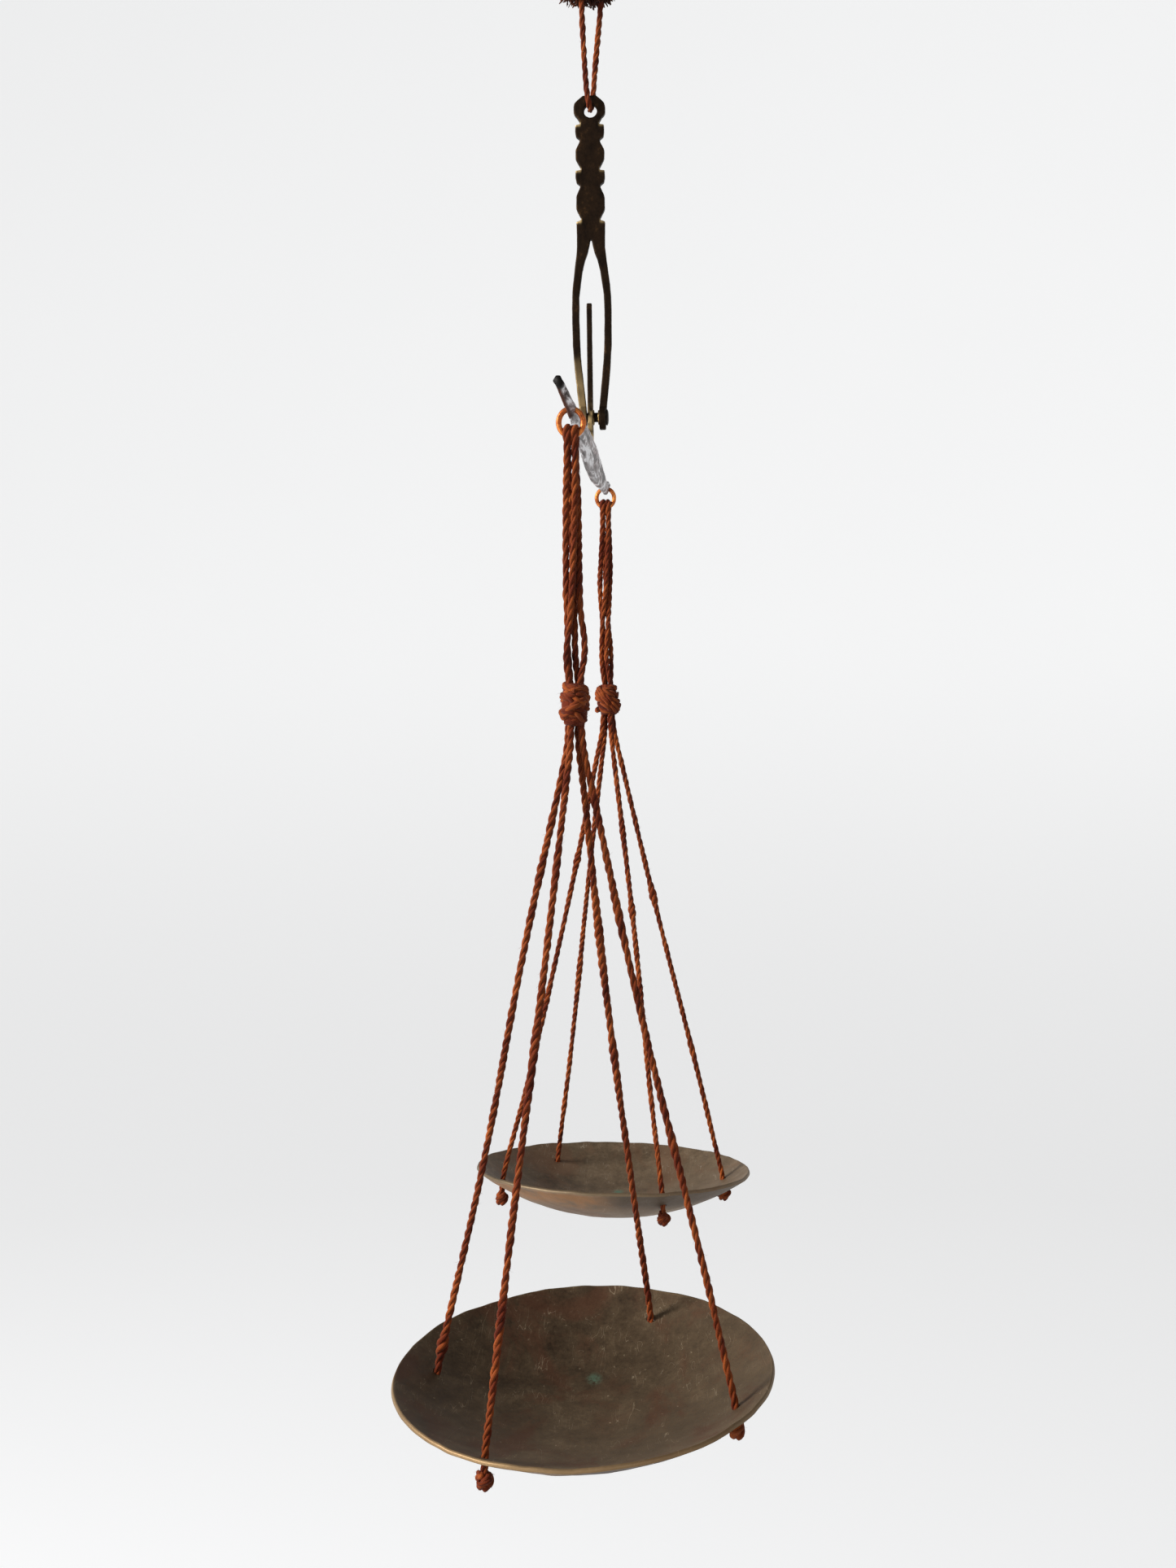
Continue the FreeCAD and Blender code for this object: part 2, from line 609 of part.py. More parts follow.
for thing in doc.Objects:
    if "Invalid" in thing.State or "Error" in thing.State:
        raise RuntimeError(f"{thing.Label} did not recompute: {thing.State}")
os.makedirs("parts", exist_ok=True)
for subpart in subparts:
    shape = subpart.Shape
    if shape.isNull() or not shape.isValid() or not shape.Solids:
        raise RuntimeError(f"{subpart.Label} has no sound solid")
    shape.exportStep(os.path.join("parts", f"{subpart.Label}.step"))
print(len(subparts), "sub-parts written")
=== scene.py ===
import json
import math
import random

import bmesh
import bpy
import numpy as np
from mathutils import Matrix, Vector, noise


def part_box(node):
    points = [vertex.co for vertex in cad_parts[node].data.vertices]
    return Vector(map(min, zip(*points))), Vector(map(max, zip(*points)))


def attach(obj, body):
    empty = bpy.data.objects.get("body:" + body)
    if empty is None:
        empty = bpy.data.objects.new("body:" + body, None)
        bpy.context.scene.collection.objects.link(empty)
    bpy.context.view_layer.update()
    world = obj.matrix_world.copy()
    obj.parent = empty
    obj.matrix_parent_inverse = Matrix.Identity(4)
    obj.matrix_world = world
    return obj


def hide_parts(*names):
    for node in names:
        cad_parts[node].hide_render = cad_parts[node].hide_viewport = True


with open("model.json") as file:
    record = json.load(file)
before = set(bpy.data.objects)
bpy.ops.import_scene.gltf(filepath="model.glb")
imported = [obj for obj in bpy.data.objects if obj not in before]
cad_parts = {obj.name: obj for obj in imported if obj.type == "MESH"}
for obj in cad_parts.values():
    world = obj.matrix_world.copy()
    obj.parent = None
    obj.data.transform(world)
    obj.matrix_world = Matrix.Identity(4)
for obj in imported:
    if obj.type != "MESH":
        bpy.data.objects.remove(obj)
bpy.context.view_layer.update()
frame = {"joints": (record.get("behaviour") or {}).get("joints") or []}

mm = 0.001
joints = {joint["name"]: joint for joint in frame["joints"]}


def jointPlace(name):
    return Vector(joints[name]["pos_m"])


def boxCentre(node):
    low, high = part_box(node)
    return (Vector(low) + Vector(high)) / 2


pin = jointPlace("beam_tilt")
eyeHole = jointPlace("shears_sway") - Vector((0, 0, 0.45 * mm))
ringCentre = {side: jointPlace(f"{side}_pan_sway") for side in ("right", "left")}
knotCentre = {side: boxCentre(f"{side}_knot") for side in ("right", "left")}


# Camera, near the right end of the beam and looking almost along it

cameraSettings = {
    "fromPin": (0.4379, 0.0213, -0.0607),
    "heading": 3.077,  # degrees off the beam's line
    "pitch": 3.108,  # degrees down
    "roll": 0.709,
    "lens": 43.31,
}


def makeCamera(settings):
    data = bpy.data.cameras.new("camera")
    data.lens = settings["lens"]
    data.clip_start = 0.01
    camera = bpy.data.objects.new("camera", data)
    bpy.context.collection.objects.link(camera)
    heading, pitch = math.radians(settings["heading"]), math.radians(settings["pitch"])
    ahead = Vector((-math.cos(heading) * math.cos(pitch), -math.sin(heading) * math.cos(pitch),
                    -math.sin(pitch)))
    camera.rotation_mode = "QUATERNION"
    level = ahead.to_track_quat("-Z", "Y").to_matrix()
    turned = level @ Matrix.Rotation(-math.radians(settings["roll"]), 3, "Z")
    camera.rotation_quaternion = turned.to_quaternion()
    camera.location = pin + Vector(settings["fromPin"])
    bpy.context.scene.camera = camera


makeCamera(cameraSettings)
print("camera made")


# Shading: sockets that can be added up, and one method for every other node


class Wire:
    def __init__(self, shade, socket):
        self.shade = shade
        self.socket = socket

    def sum(self, operation, *values):
        return self.shade.node("ShaderNodeMath", {"operation": operation}, values)

    def __add__(self, other):
        return self.sum("ADD", self, other)

    def __radd__(self, other):
        return self.sum("ADD", other, self)

    def __sub__(self, other):
        return self.sum("SUBTRACT", self, other)

    def __rsub__(self, other):
        return self.sum("SUBTRACT", other, self)

    def __mul__(self, other):
        return self.sum("MULTIPLY", self, other)

    def __rmul__(self, other):
        return self.sum("MULTIPLY", other, self)

    def above(self, level, soft):
        # 0 below the level, 1 above it, with a soft step between
        settings = {"interpolation_type": "SMOOTHSTEP"}
        values = [self, level - soft, level + soft]
        return self.shade.node("ShaderNodeMapRange", settings, values)


class Shade:
    def __init__(self, name):
        self.material = bpy.data.materials.new(name)
        self.material.use_nodes = True
        self.tree = self.material.node_tree
        self.tree.nodes.clear()
        self.surface = self.tree.nodes.new("ShaderNodeBsdfPrincipled")
        output = self.tree.nodes.new("ShaderNodeOutputMaterial")
        self.tree.links.new(self.surface.outputs[0], output.inputs[0])

    def put(self, socket, value):
        if isinstance(value, Wire):
            self.tree.links.new(value.socket, socket)
        elif hasattr(value, "__len__") and len(value) == 3 and len(socket.default_value) == 4:
            socket.default_value = (*value, 1)
        else:
            socket.default_value = value

    def node(self, kind, settings=None, values=(), output=0):
        made = self.tree.nodes.new(kind)
        for name, value in (settings or {}).items():
            if name == "stops":
                ramp = made.color_ramp
                while len(ramp.elements) < len(value):
                    ramp.elements.new(0.5)
                for element, (place, colour) in zip(ramp.elements, value):
                    element.position = place
                    element.color = (*colour, 1)
            else:
                setattr(made, name, value)
        named = values.items() if isinstance(values, dict) else enumerate(values)
        for name, value in named:
            self.put(made.inputs[name], value)
        return Wire(self, made.outputs[output])

    def place(self):
        return self.node("ShaderNodeNewGeometry", output="Position")

    def stored(self, name, output="Fac"):
        return self.node("ShaderNodeAttribute", {"attribute_name": name}, output=output)

    def stretched(self, vector, scale):
        return self.node("ShaderNodeVectorMath", {"operation": "MULTIPLY"}, [vector, scale])

    def clouds(self, vector, scale, detail=4, roughness=0.55, distortion=0):
        values = {"Vector": vector, "Scale": scale, "Detail": detail, "Roughness": roughness,
                  "Distortion": distortion}
        return self.node("ShaderNodeTexNoise", {"noise_dimensions": "3D"}, values)

    def cells(self, vector, scale):
        values = {"Vector": vector, "Scale": scale}
        return self.node("ShaderNodeTexVoronoi", {"feature": "F1"}, values, "Distance")

    def mix(self, amount, first, second):
        return self.node("ShaderNodeMix", {"data_type": "RGBA"}, {0: amount, 6: first, 7: second},
                         2)

    def ramp(self, amount, *stops):
        return self.node("ShaderNodeValToRGB", {"stops": stops}, [amount])

    def bump(self, height, strength, distance):
        values = {"Strength": strength, "Distance": distance, "Height": height}
        return self.node("ShaderNodeBump", None, values)

    def finish(self, **values):
        for name, value in values.items():
            self.put(self.surface.inputs[name.replace("_", " ")], value)
        return self.material


def cordFinish(name, deep, mid, light):
    shade = Shade(name)
    fibre = shade.stored("fibre", "Vector")
    place = shade.place()
    strands = shade.clouds(shade.stretched(fibre, (0.35, 5, 5)), 1, 5, 0.6)
    blotches = shade.clouds(place, 180, 3)
    streaks = shade.clouds(shade.stretched(fibre, (1.2, 9, 9)), 1, 2)
    tone = strands * 0.6 + blotches * 0.5 + shade.stored("tone") * 0.5 - 0.3
    colour = shade.ramp(tone, (0.12, deep), (0.42, mid), (0.78, light))
    normal = shade.bump(strands + streaks * 0.6, 0.7, 0.00012)
    return shade.finish(Base_Color=colour, Roughness=0.85, Normal=normal, Specular_IOR_Level=0.12,
                        Sheen_Weight=0.08, Sheen_Roughness=0.45)


cordMaterial = cordFinish("rustCord", (0.015, 0.0018, 0.0006), (0.125, 0.0165, 0.003),
                          (0.42, 0.10, 0.018))
tuftMaterial = cordFinish("tuftYarn", (0.010, 0.002, 0.001), (0.055, 0.014, 0.006),
                          (0.20, 0.065, 0.025))


# Cords: each follows a route of a few chosen points, and is laid up from three twisted plies

cordSettings = {
    "plies": 3,
    "layLength": 6.4 * mm,
    "step": 0.3 * mm,
    "plySides": 8,
    "lumps": 0.13,  # how far the thickness wanders
    "hairsPerMm": 1.1,
    "hangingThick": 1.3 * mm,
    "stringThick": 1.4 * mm,
}

# Routes repeat the design's points: X, Y, Z in millimetres from the place named with them.
fingerRoute = (  # from the hand's place
    (0, -1.4, -20.5), (0, -2.6, -15.5), (0.2, -5.5, -9.5), (0.3, -5.4, -3.2), (0.1, -2.2, 0.65),
    (0, 2.0, 0.65), (-0.2, 5.6, -3.4), (-0.3, 5.2, -10), (0, 2.4, -15.5), (0, 1.4, -20.5),
)
hangingRoute = (  # from the eye's hole
    (0.8, -1.5, 26.6), (1.5, -1.4, 21.5), (2.0, -0.95, 11), (2.0, -0.5, 3.6), (2.0, 0.1, 0.45),
    (-2.0, 0.1, 0.45), (-2.0, 0.8, 3.6), (-1.9, 1.35, 11), (-1.4, 2.55, 21.5), (-0.8, 3.1, 26.6),
)
# From the ring's centre: each hanger goes up one strand, over the wire, and down the other.
hangerRoutes = {
    "right_hanger_front": (
        (-0.74, -0.75, -53), (-0.75, -0.75, -50.8), (-0.75, -1.25, -44), (-0.3, -1.2, -38),
        (0.35, -1.35, -28), (0.95, -1.15, -16), (1.25, -0.75, -6), (1.36, -0.68, -1.1),
        (-1.36, -0.68, -1.1), (-1.25, -0.75, -6), (-1.3, -0.5, -16), (-1.25, -0.05, -28),
        (-1.05, 0.2, -38), (-0.85, 0.1, -44), (-0.75, 0.8, -50.8), (-0.74, 0.8, -53),
    ),
    "right_hanger_back": (
        (0.74, -0.8, -53), (0.75, -0.8, -50.8), (0.65, -1.6, -44), (1.15, -0.55, -38),
        (1.3, 0.1, -28), (1.25, 0.6, -16), (1.25, 0.75, -6), (1.36, 0.68, -1.1),
        (-1.36, 0.68, -1.1), (-1.25, 0.75, -6), (-0.7, 1.25, -16), (0.1, 1.1, -28),
        (0.35, 1.25, -36), (0.3, 2.45, -43), (0.75, 0.85, -50.8), (0.74, 0.85, -53),
    ),
    "left_hanger_front": (
        (-0.74, -0.75, -53), (-0.75, -0.75, -50.8), (-1.2, -0.3, -43), (-0.9, -1.2, -34),
        (0.1, -1.9, -25), (0.9, -1.3, -15), (1.25, -0.75, -6), (1.36, -0.68, -1.1),
        (-1.36, -0.68, -1.1), (-1.25, -0.75, -6), (-1.25, -0.5, -15), (-1.2, -0.2, -25),
        (-0.7, 0.4, -34), (-0.1, 1.2, -43), (-0.75, 0.8, -50.8), (-0.74, 0.8, -53),
    ),
    "left_hanger_back": (
        (0.74, -0.8, -53), (0.75, -0.8, -50.8), (-0.1, -1.7, -43), (0.75, -1.3, -34),
        (1.15, -0.15, -25), (1.3, 0.45, -15), (1.25, 0.75, -6), (1.36, 0.68, -1.1),
        (-1.36, 0.68, -1.1), (-1.25, 0.75, -6), (-0.4, 1.15, -15), (0.1, 0.95, -25),
        (1.0, 0.35, -34), (1.0, -0.4, -43), (0.75, 0.85, -50.8), (0.74, 0.85, -53),
    ),
}
# From the knot's centre: inside the knot, below it, down to the pan's hole, and the stopper.
stringRoutes = {
    "right": (
        ((0.4, 1.2, -2.1), (0.4, 1.2, -7.2), (1.0, 3.1, -15.5), (3.9, 11.4, -56.9),
         (7.5, 23.6, -106.6), (8.7, 27.9, -126.3), (9.3, 29.8, -134.5), (9.3, 29.8, -138.1)),
        ((-1.1, 0.5, -2.1), (-1.1, 0.5, -7.2), (-3.0, 1.3, -15.5), (-12.6, 4.7, -59.0),
         (-24.6, 10.7, -112.1), (-26.8, 12.0, -122.4), (-28.7, 12.8, -130.6),
         (-28.7, 12.8, -134.2)),
        ((-0.3, -1.2, -2.1), (-0.3, -1.2, -7.2), (-0.8, -3.1, -15.5), (-2.8, -11.2, -49.3),
         (-5.2, -18.9, -88.8), (-7.5, -28.2, -126.3), (-8.0, -30.1, -134.6),
         (-8.0, -30.1, -138.2)),
        ((1.0, -0.7, -2.1), (1.0, -0.7, -7.2), (2.6, -1.7, -15.5), (10.1, -6.3, -54.3),
         (17.6, -11.9, -96.3), (23.9, -15.8, -129.8), (25.5, -16.9, -138.1),
         (25.5, -16.9, -141.7)),
    ),
    "left": (
        ((1.1, 0.6, -2.1), (1.1, 0.6, -7.2), (2.9, 1.5, -15.4), (12.5, 6.8, -59.3),
         (21.0, 10.4, -98.9), (26.2, 13.2, -123.0), (28.0, 14.1, -131.1), (28.0, 14.1, -134.7)),
        ((-0.3, 1.2, -2.1), (-0.3, 1.2, -7.2), (-0.6, 3.1, -15.4), (-2.6, 12.5, -57.9),
         (-4.4, 22.4, -98.4), (-5.8, 28.5, -125.8), (-6.2, 30.4, -133.9), (-6.2, 30.4, -137.5)),
        ((-1.0, -0.7, -2.1), (-1.0, -0.7, -7.2), (-2.6, -1.8, -15.4), (-9.8, -6.8, -52.9),
         (-18.6, -12.0, -97.2), (-24.2, -16.2, -125.8), (-25.8, -17.3, -133.9),
         (-25.8, -17.3, -137.5)),
        ((0.3, -1.2, -2.1), (0.3, -1.2, -7.2), (0.9, -3.1, -15.4), (3.0, -9.3, -47.0),
         (7.0, -22.6, -104.0), (8.2, -28.2, -123.1), (8.8, -30.1, -131.2),
         (8.8, -30.1, -134.8)),
    ),
}
# Thick places along a string: how far down it (0 to 1), how thick, how long in millimetres
slubs = {
    "right_hanger_front": ((0.5, 0.35, 4), (0.2, 0.2, 3)),
    "right_hanger_back": ((0.5, 0.35, 4), (0.78, 0.2, 4)),
    "left_hanger_front": ((0.5, 0.35, 4), (0.3, 0.2, 3)),
    "left_hanger_back": ((0.5, 0.35, 4), (0.7, 0.2, 3)),
    "right_string_1": ((0.28, 0.25, 5), (0.61, 0.2, 4)),
    "right_string_2": ((0.33, 0.3, 9), (0.52, 0.25, 5)),
    "right_string_3": ((0.93, 0.75, 2.2), (0.22, 0.2, 4)),
    "right_string_4": ((0.45, 0.3, 7), (0.8, 0.2, 6)),
    "left_string_1": ((0.41, 0.6, 1.8), (0.25, 0.25, 3)),
    "left_string_2": ((0.38, 0.7, 2.4), (0.7, 0.2, 4)),
    "left_string_3": ((0.55, 0.25, 4),),
    "left_string_4": ((0.31, 0.35, 2.6), (0.6, 0.2, 4)),
}


def nurbsLine(points):
    # the smooth line of a route, read from its NURBS spline
    curve = bpy.data.curves.new("route", "CURVE")
    curve.dimensions = "3D"
    curve.resolution_u = 24
    spline = curve.splines.new("NURBS")
    spline.points.add(len(points) - 1)
    for point, place in zip(spline.points, points):
        point.co = (*place, 1)
    spline.order_u = 3
    spline.use_endpoint_u = True
    holder = bpy.data.objects.new("route", curve)
    mesh = bpy.data.meshes.new_from_object(holder)
    line = np.array([vertex.co for vertex in mesh.vertices])
    bpy.data.meshes.remove(mesh)
    bpy.data.objects.remove(holder)
    bpy.data.curves.remove(curve)
    return line


def evenly(line, step):
    runs = np.linalg.norm(np.diff(line, axis=0), axis=1)
    along = np.concatenate([[0], np.cumsum(runs)])
    marks = np.linspace(0, along[-1], max(8, int(along[-1] / step)))
    return np.stack([np.interp(marks, along, line[:, axis]) for axis in range(3)], axis=1), marks


def carriedSides(line):
    # two directions across the line at each point, carried along it without twisting
    ahead = np.gradient(line, axis=0)
    ahead /= np.linalg.norm(ahead, axis=1)[:, None]
    across = np.cross(ahead[0], (0.31, 0.83, 0.46))
    sides = []
    for direction in ahead:
        across = across - direction * np.dot(across, direction)
        across /= np.linalg.norm(across)
        sides.append(across.copy())
    sides = np.array(sides)
    return sides, np.cross(ahead, sides)


def bands(rows, sides, capped=True):
    # the faces between rows of points that each go round, and the caps on the end rows
    row, side = np.meshgrid(np.arange(rows - 1), np.arange(sides), indexing="ij")
    after = (side + 1) % sides
    faces = np.stack([row * sides + side, row * sides + after, (row + 1) * sides + after,
                      (row + 1) * sides + side], axis=-1).reshape(-1, 4).tolist()
    if capped:
        faces.append(list(range(sides))[::-1])
        faces.append(list(range((rows - 1) * sides, rows * sides)))
    return faces


def curled(here, heading, curl, bend, length, count):
    # the points of a hair that sets off one way and curls
    path = []
    for part in range(count):
        path.append(here.copy())
        here = here + heading * length / 5
        heading = (heading + curl * bend).normalized()
    return np.array(path)


def tube(line, radii, sides):
    # the points and faces of a closed tube, and the turn of each of its sides
    across, up = carriedSides(line)
    turns = np.linspace(0, 2 * math.pi, sides, endpoint=False)
    rings = (np.cos(turns)[None, :, None] * across[:, None, :]
             + np.sin(turns)[None, :, None] * up[:, None, :])
    points = (line[:, None, :] + rings * radii[:, None, None]).reshape(-1, 3)
    return points, bands(len(line), sides), turns


class Yarn:
    # tubes gathered into one piece, with the values along them that its finish reads
    def __init__(self):
        self.points, self.faces, self.fibre, self.tone, self.count = [], [], [], [], 0

    def add(self, line, radii, sides, marks, tone, seed=0):
        points, faces, turns = tube(line, radii, sides)
        self.points.append(points)
        self.faces += [[corner + self.count for corner in face] for face in faces]
        self.fibre.append(np.stack([np.repeat(marks / mm, sides) + 40 * seed,
                                    np.tile(np.cos(turns), len(line)),
                                    np.tile(np.sin(turns), len(line))], axis=1))
        self.tone.append(np.repeat(tone, sides))
        self.count += len(points)

    def layUp(self, line, diameter, seed, lumps=()):
        # three plies twisted round a line, uneven in thickness and drawn in at the ends
        settings = cordSettings
        line, marks = evenly(line, settings["step"])
        across, up = carriedSides(line)
        thick = 1 + settings["lumps"] * (wander(marks, seed, 4 * mm)
                                         + wander(marks, seed + 9, 1.4 * mm))
        for share, extra, reach in lumps:
            thick += extra * np.exp(-((marks - share * marks[-1]) / (reach * mm)) ** 2)
        thick *= np.clip(0.7 + np.minimum(marks, marks[-1] - marks) / (2 * mm), 0, 1)
        slack = 1 + 0.3 * wander(marks, seed + 3, 9 * mm)
        turn = 2 * math.pi * np.cumsum(slack) * marks[1] / settings["layLength"]
        for ply in range(settings["plies"]):
            angle = turn + 2 * math.pi * ply / settings["plies"]
            out = 0.26 * diameter * thick * (1 + 0.15 * wander(marks, seed + 31 + ply, 3 * mm))
            path = line + across * (np.cos(angle) * out)[:, None]
            path += up * (np.sin(angle) * out)[:, None]
            tone = 0.5 + 0.5 * wander(marks, seed + 20 + ply, 6 * mm)
            self.add(path, 0.265 * diameter * thick, settings["plySides"], marks, tone, ply)
        return line

    def hairs(self, line, diameter, count, chance, longest=1.4 * mm):
        # loose hairs: thin closed tubes that lift off the cord and curl
        for number in range(count):
            start = chance.randrange(2, len(line) - 2)
            along = Vector(line[start + 1] - line[start - 1]).normalized()
            out = along.orthogonal().normalized()
            out.rotate(Matrix.Rotation(chance.uniform(0, 2 * math.pi), 3, along))
            length = longest * chance.uniform(0.35, 1)
            heading = (out * chance.uniform(0.2, 1) + along * chance.choice((-1, 1))).normalized()
            curl = Vector([chance.uniform(-1, 1) for axis in range(3)])
            here = Vector(line[start]) + out * diameter * 0.4
            path = curled(here, heading, curl, 0.25, length, 5)
            self.add(path, np.linspace(0.024, 0.009, 5) * mm, 3, np.zeros(5), np.full(5, 0.8))

    def piece(self, name, material):
        mesh = bpy.data.meshes.new(name)
        mesh.from_pydata(np.concatenate(self.points).tolist(), [], self.faces)
        fibre = mesh.attributes.new("fibre", "FLOAT_VECTOR", "POINT")
        fibre.data.foreach_set("vector", np.concatenate(self.fibre).ravel())
        tone = mesh.attributes.new("tone", "FLOAT", "POINT")
        tone.data.foreach_set("value", np.concatenate(self.tone))
        return place(name, mesh, material)


def place(name, mesh, material):
    mesh.shade_smooth()
    mesh.materials.clear()
    mesh.materials.append(material)
    piece = bpy.data.objects.new(name, mesh)
    bpy.context.collection.objects.link(piece)
    return piece


def stands(piece, node, body):
    # the piece moves with the body and is shown instead of the node
    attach(piece, body)
    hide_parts(node)
    return piece


def wander(marks, seed, reach):
    return np.array([noise.noise(Vector((mark / reach, seed * 7.3, 1.7))) for mark in marks])


def away(centre, points):
    return [centre + Vector(point) * mm for point in points]


def makeCord(name, node, body, points, diameter, seed):
    chance = random.Random(seed)
    yarn = Yarn()
    smooth = nurbsLine(points)
    line = yarn.layUp(smooth, diameter, seed, slubs.get(node, ()))
    length = float(np.linalg.norm(np.diff(line, axis=0), axis=1).sum())
    yarn.hairs(line, diameter, int(cordSettings["hairsPerMm"] * length / mm), chance)
    cord = stands(yarn.piece(name, cordMaterial), node, body)
    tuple(points[0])


# Knots: wraps of the same cord round the strands that they gather

knotSettings = {
    "tall": 8.5 * mm,
    "cord": 1.6 * mm,
    "core": (2.2, 3.0, 3.1, 2.9, 2.3),  # radii from the bottom to the top, in millimetres
    "coreShare": 0.82,
    "tailCord": 1.05 * mm,
    "fuzzRadius": 2.3, "fuzzReach": 3.6, "fuzzHairs": 110,
    # each wrap: height (mm), radius (mm), slope and the way it faces (degrees), turns, its start
    "right": (
        (-3.1, 1.5, 0.15, 20, 1.05, 20), (-2.1, 1.95, -0.35, 10, 1.0, 140),
        (-1.1, 2.15, 0.25, 40, 1.0, 60), (-0.2, 2.2, 0.55, 0, 1.1, 250),
        (0.7, 2.2, -0.3, 30, 1.0, 80), (1.5, 2.15, 0.3, -25, 1.0, 10),
        (2.3, 1.95, 0.35, -25, 1.05, 320), (3.1, 1.6, -0.2, 0, 1.0, 200),
        (0.1, 2.35, 1.0, 15, 0.5, 235),
    ),
    "left": (
        (-3.0, 1.8, -0.15, 0, 1.0, 200), (-2.0, 2.4, -0.4, 5, 1.05, 160),
        (-1.0, 2.65, -0.6, 0, 1.1, 170), (0.0, 2.7, -0.65, 0, 1.0, 150),
        (1.0, 2.65, -0.6, -10, 1.0, 190), (2.0, 2.4, -0.4, 0, 1.05, 210),
        (2.9, 1.85, 0.2, 0, 1.0, 160), (-0.6, 2.75, 0.85, 0, 0.5, 110),
    ),
    # each tail: where it leaves (degrees), its height, how it points, its length
    "tails": ((85, 0.9, (0.5, 1.0, 0.2), 1.3), (265, 2.4, (-0.2, -1.0, 0.5), 1.1)),
}


def makeKnot(side, body, seed):
    settings = knotSettings
    centre = knotCentre[side]
    chance = random.Random(seed)
    yarn = Yarn()
    heights = np.linspace(-0.48, 0.48, len(settings["core"])) * settings["tall"]
    core = np.array([centre + Vector((0, 0, height)) for height in heights])
    radii = np.array(settings["core"]) * mm * settings["coreShare"]
    yarn.add(core, radii, 16, heights, np.full(len(core), 0.3))
    for number, (height, radius, slope, facing, turns, start) in enumerate(settings[side]):
        steps = np.linspace(0, 2 * math.pi * turns, 40) + math.radians(start)
        swell = radius * (1 + 0.06 * np.sin(2 * steps + 1.7 * number))
        tilt = slope * radius * np.sin(steps - math.radians(facing))
        tilt += 0.14 * np.sin(3 * steps + number)
        wrap = np.stack([swell * np.cos(steps), swell * np.sin(steps), height + tilt], axis=1) * mm
        yarn.layUp(wrap + np.array(centre), settings["cord"], seed + number)
    for start, height, heading, length in settings["tails"]:
        turn = math.radians(start + seed * 53)
        out = Vector((math.cos(turn), math.sin(turn), 0))
        root = centre + out * 1.9 * mm + Vector((0, 0, height * mm))
        heading = (out + Vector(heading) * 0.6).normalized()
        tail = np.array([root + heading * length * mm * share for share in (0, 0.5, 1)])
        line = yarn.layUp(tail, settings["tailCord"], seed + 60)
        yarn.hairs(line, 0.6 * mm, 8, chance, 1.1 * mm)
    steps = np.linspace(0, 12 * math.pi, 200)
    out, reach = settings["fuzzRadius"], settings["fuzzReach"]
    spiral = np.stack([out * np.cos(steps), out * np.sin(steps), np.linspace(-reach, reach, 200)],
                      axis=1) * mm + np.array(centre)
    yarn.hairs(spiral, 1.2 * mm, settings["fuzzHairs"], chance, 1.3 * mm)
    stands(yarn.piece(f"{side}GatheringKnot", cordMaterial), f"{side}_knot", body)


# Stopper knots: a cord turned through itself under the pan, round a short cut end

stopperSettings = {
    "cord": 1.35 * mm, "radius": 0.44 * mm, "flatness": 1.1, "core": 2.8 * mm,
    # how far the cut end shows above and below the middle, in millimetres
    "ends": {"right_stopper_3": (1.1, -1.3)}, "usual": (1.3, -1.9),
}


def makeStopper(side, number, body, seed):
    settings = stopperSettings
    node = f"{side}_stopper_{number}"
    centre = boxCentre(node)
    chance = random.Random(seed)
    yarn = Yarn()
    steps = np.linspace(0, 2 * math.pi, 60)
    loops = np.stack([np.sin(steps) + 2 * np.sin(2 * steps), np.cos(steps) - 2 * np.cos(2 * steps),
                      -settings["flatness"] * 1.6 * np.sin(3 * steps)], axis=1)
    turned = Matrix.Rotation(chance.uniform(0, 6.28), 3, "Z") @ Matrix.Rotation(
        chance.uniform(0.2, 0.7), 3, "X")
    loops = loops @ np.array(turned) * settings["radius"] * chance.uniform(0.92, 1.08)
    line = yarn.layUp(loops + np.array(centre), settings["cord"], seed)
    yarn.hairs(line, settings["cord"], 60, chance, 1.1 * mm)
    lean = Vector((chance.uniform(-0.2, 0.2), chance.uniform(-0.2, 0.2), 1)).normalized()
    high, low = settings["ends"].get(node, settings["usual"])
    core = [centre + lean * height * mm for height in (high, 0, low)]
    yarn.layUp(np.array(core), settings["core"], seed + 5)
    return stands(yarn.piece(f"{side}Stopper{number}", cordMaterial), node, body)


hangingThick = cordSettings["hangingThick"]
makeCord("fingerLoop", "finger_loop", "suspension", away(Vector(), fingerRoute), hangingThick,
         3)
makeCord("hangingCord", "hanging_cord", "suspension", away(eyeHole, hangingRoute), hangingThick,
         8)
for sideNumber, side in enumerate(("right", "left")):
    body = f"{side}_pan_set"
    for half in ("front", "back"):
        node = f"{side}_hanger_{half}"
        makeCord(f"{side}Hanger{half.title()}", node, body,
                 away(ringCentre[side], hangerRoutes[node]), hangingThick,
                 11 + 5 * sideNumber + len(half))
    makeKnot(side, body, 2 + sideNumber)
    for number, route in enumerate(stringRoutes[side], 1):
        seed = 40 + 20 * sideNumber + number
        stopper = makeStopper(side, number, body, seed)
        makeCord(f"{side}String{number}", f"{side}_string_{number}", body,
                 away(knotCentre[side], route), cordSettings["stringThick"], seed)
print("cords and knots made")


# Tuft: a bunch of yarn tied on the hanging cord

tuftSettings = {
    "radius": 9.3 * mm, "tall": 20 * mm, "strands": 2600, "strand": 0.2 * mm,
    "reach": (1.5 * mm, 3.4 * mm), "inner": 0.82,
    "shape": (0.8, 1, 1, 1, 0.9, 0.5),  # how thick a strand is along its length
}


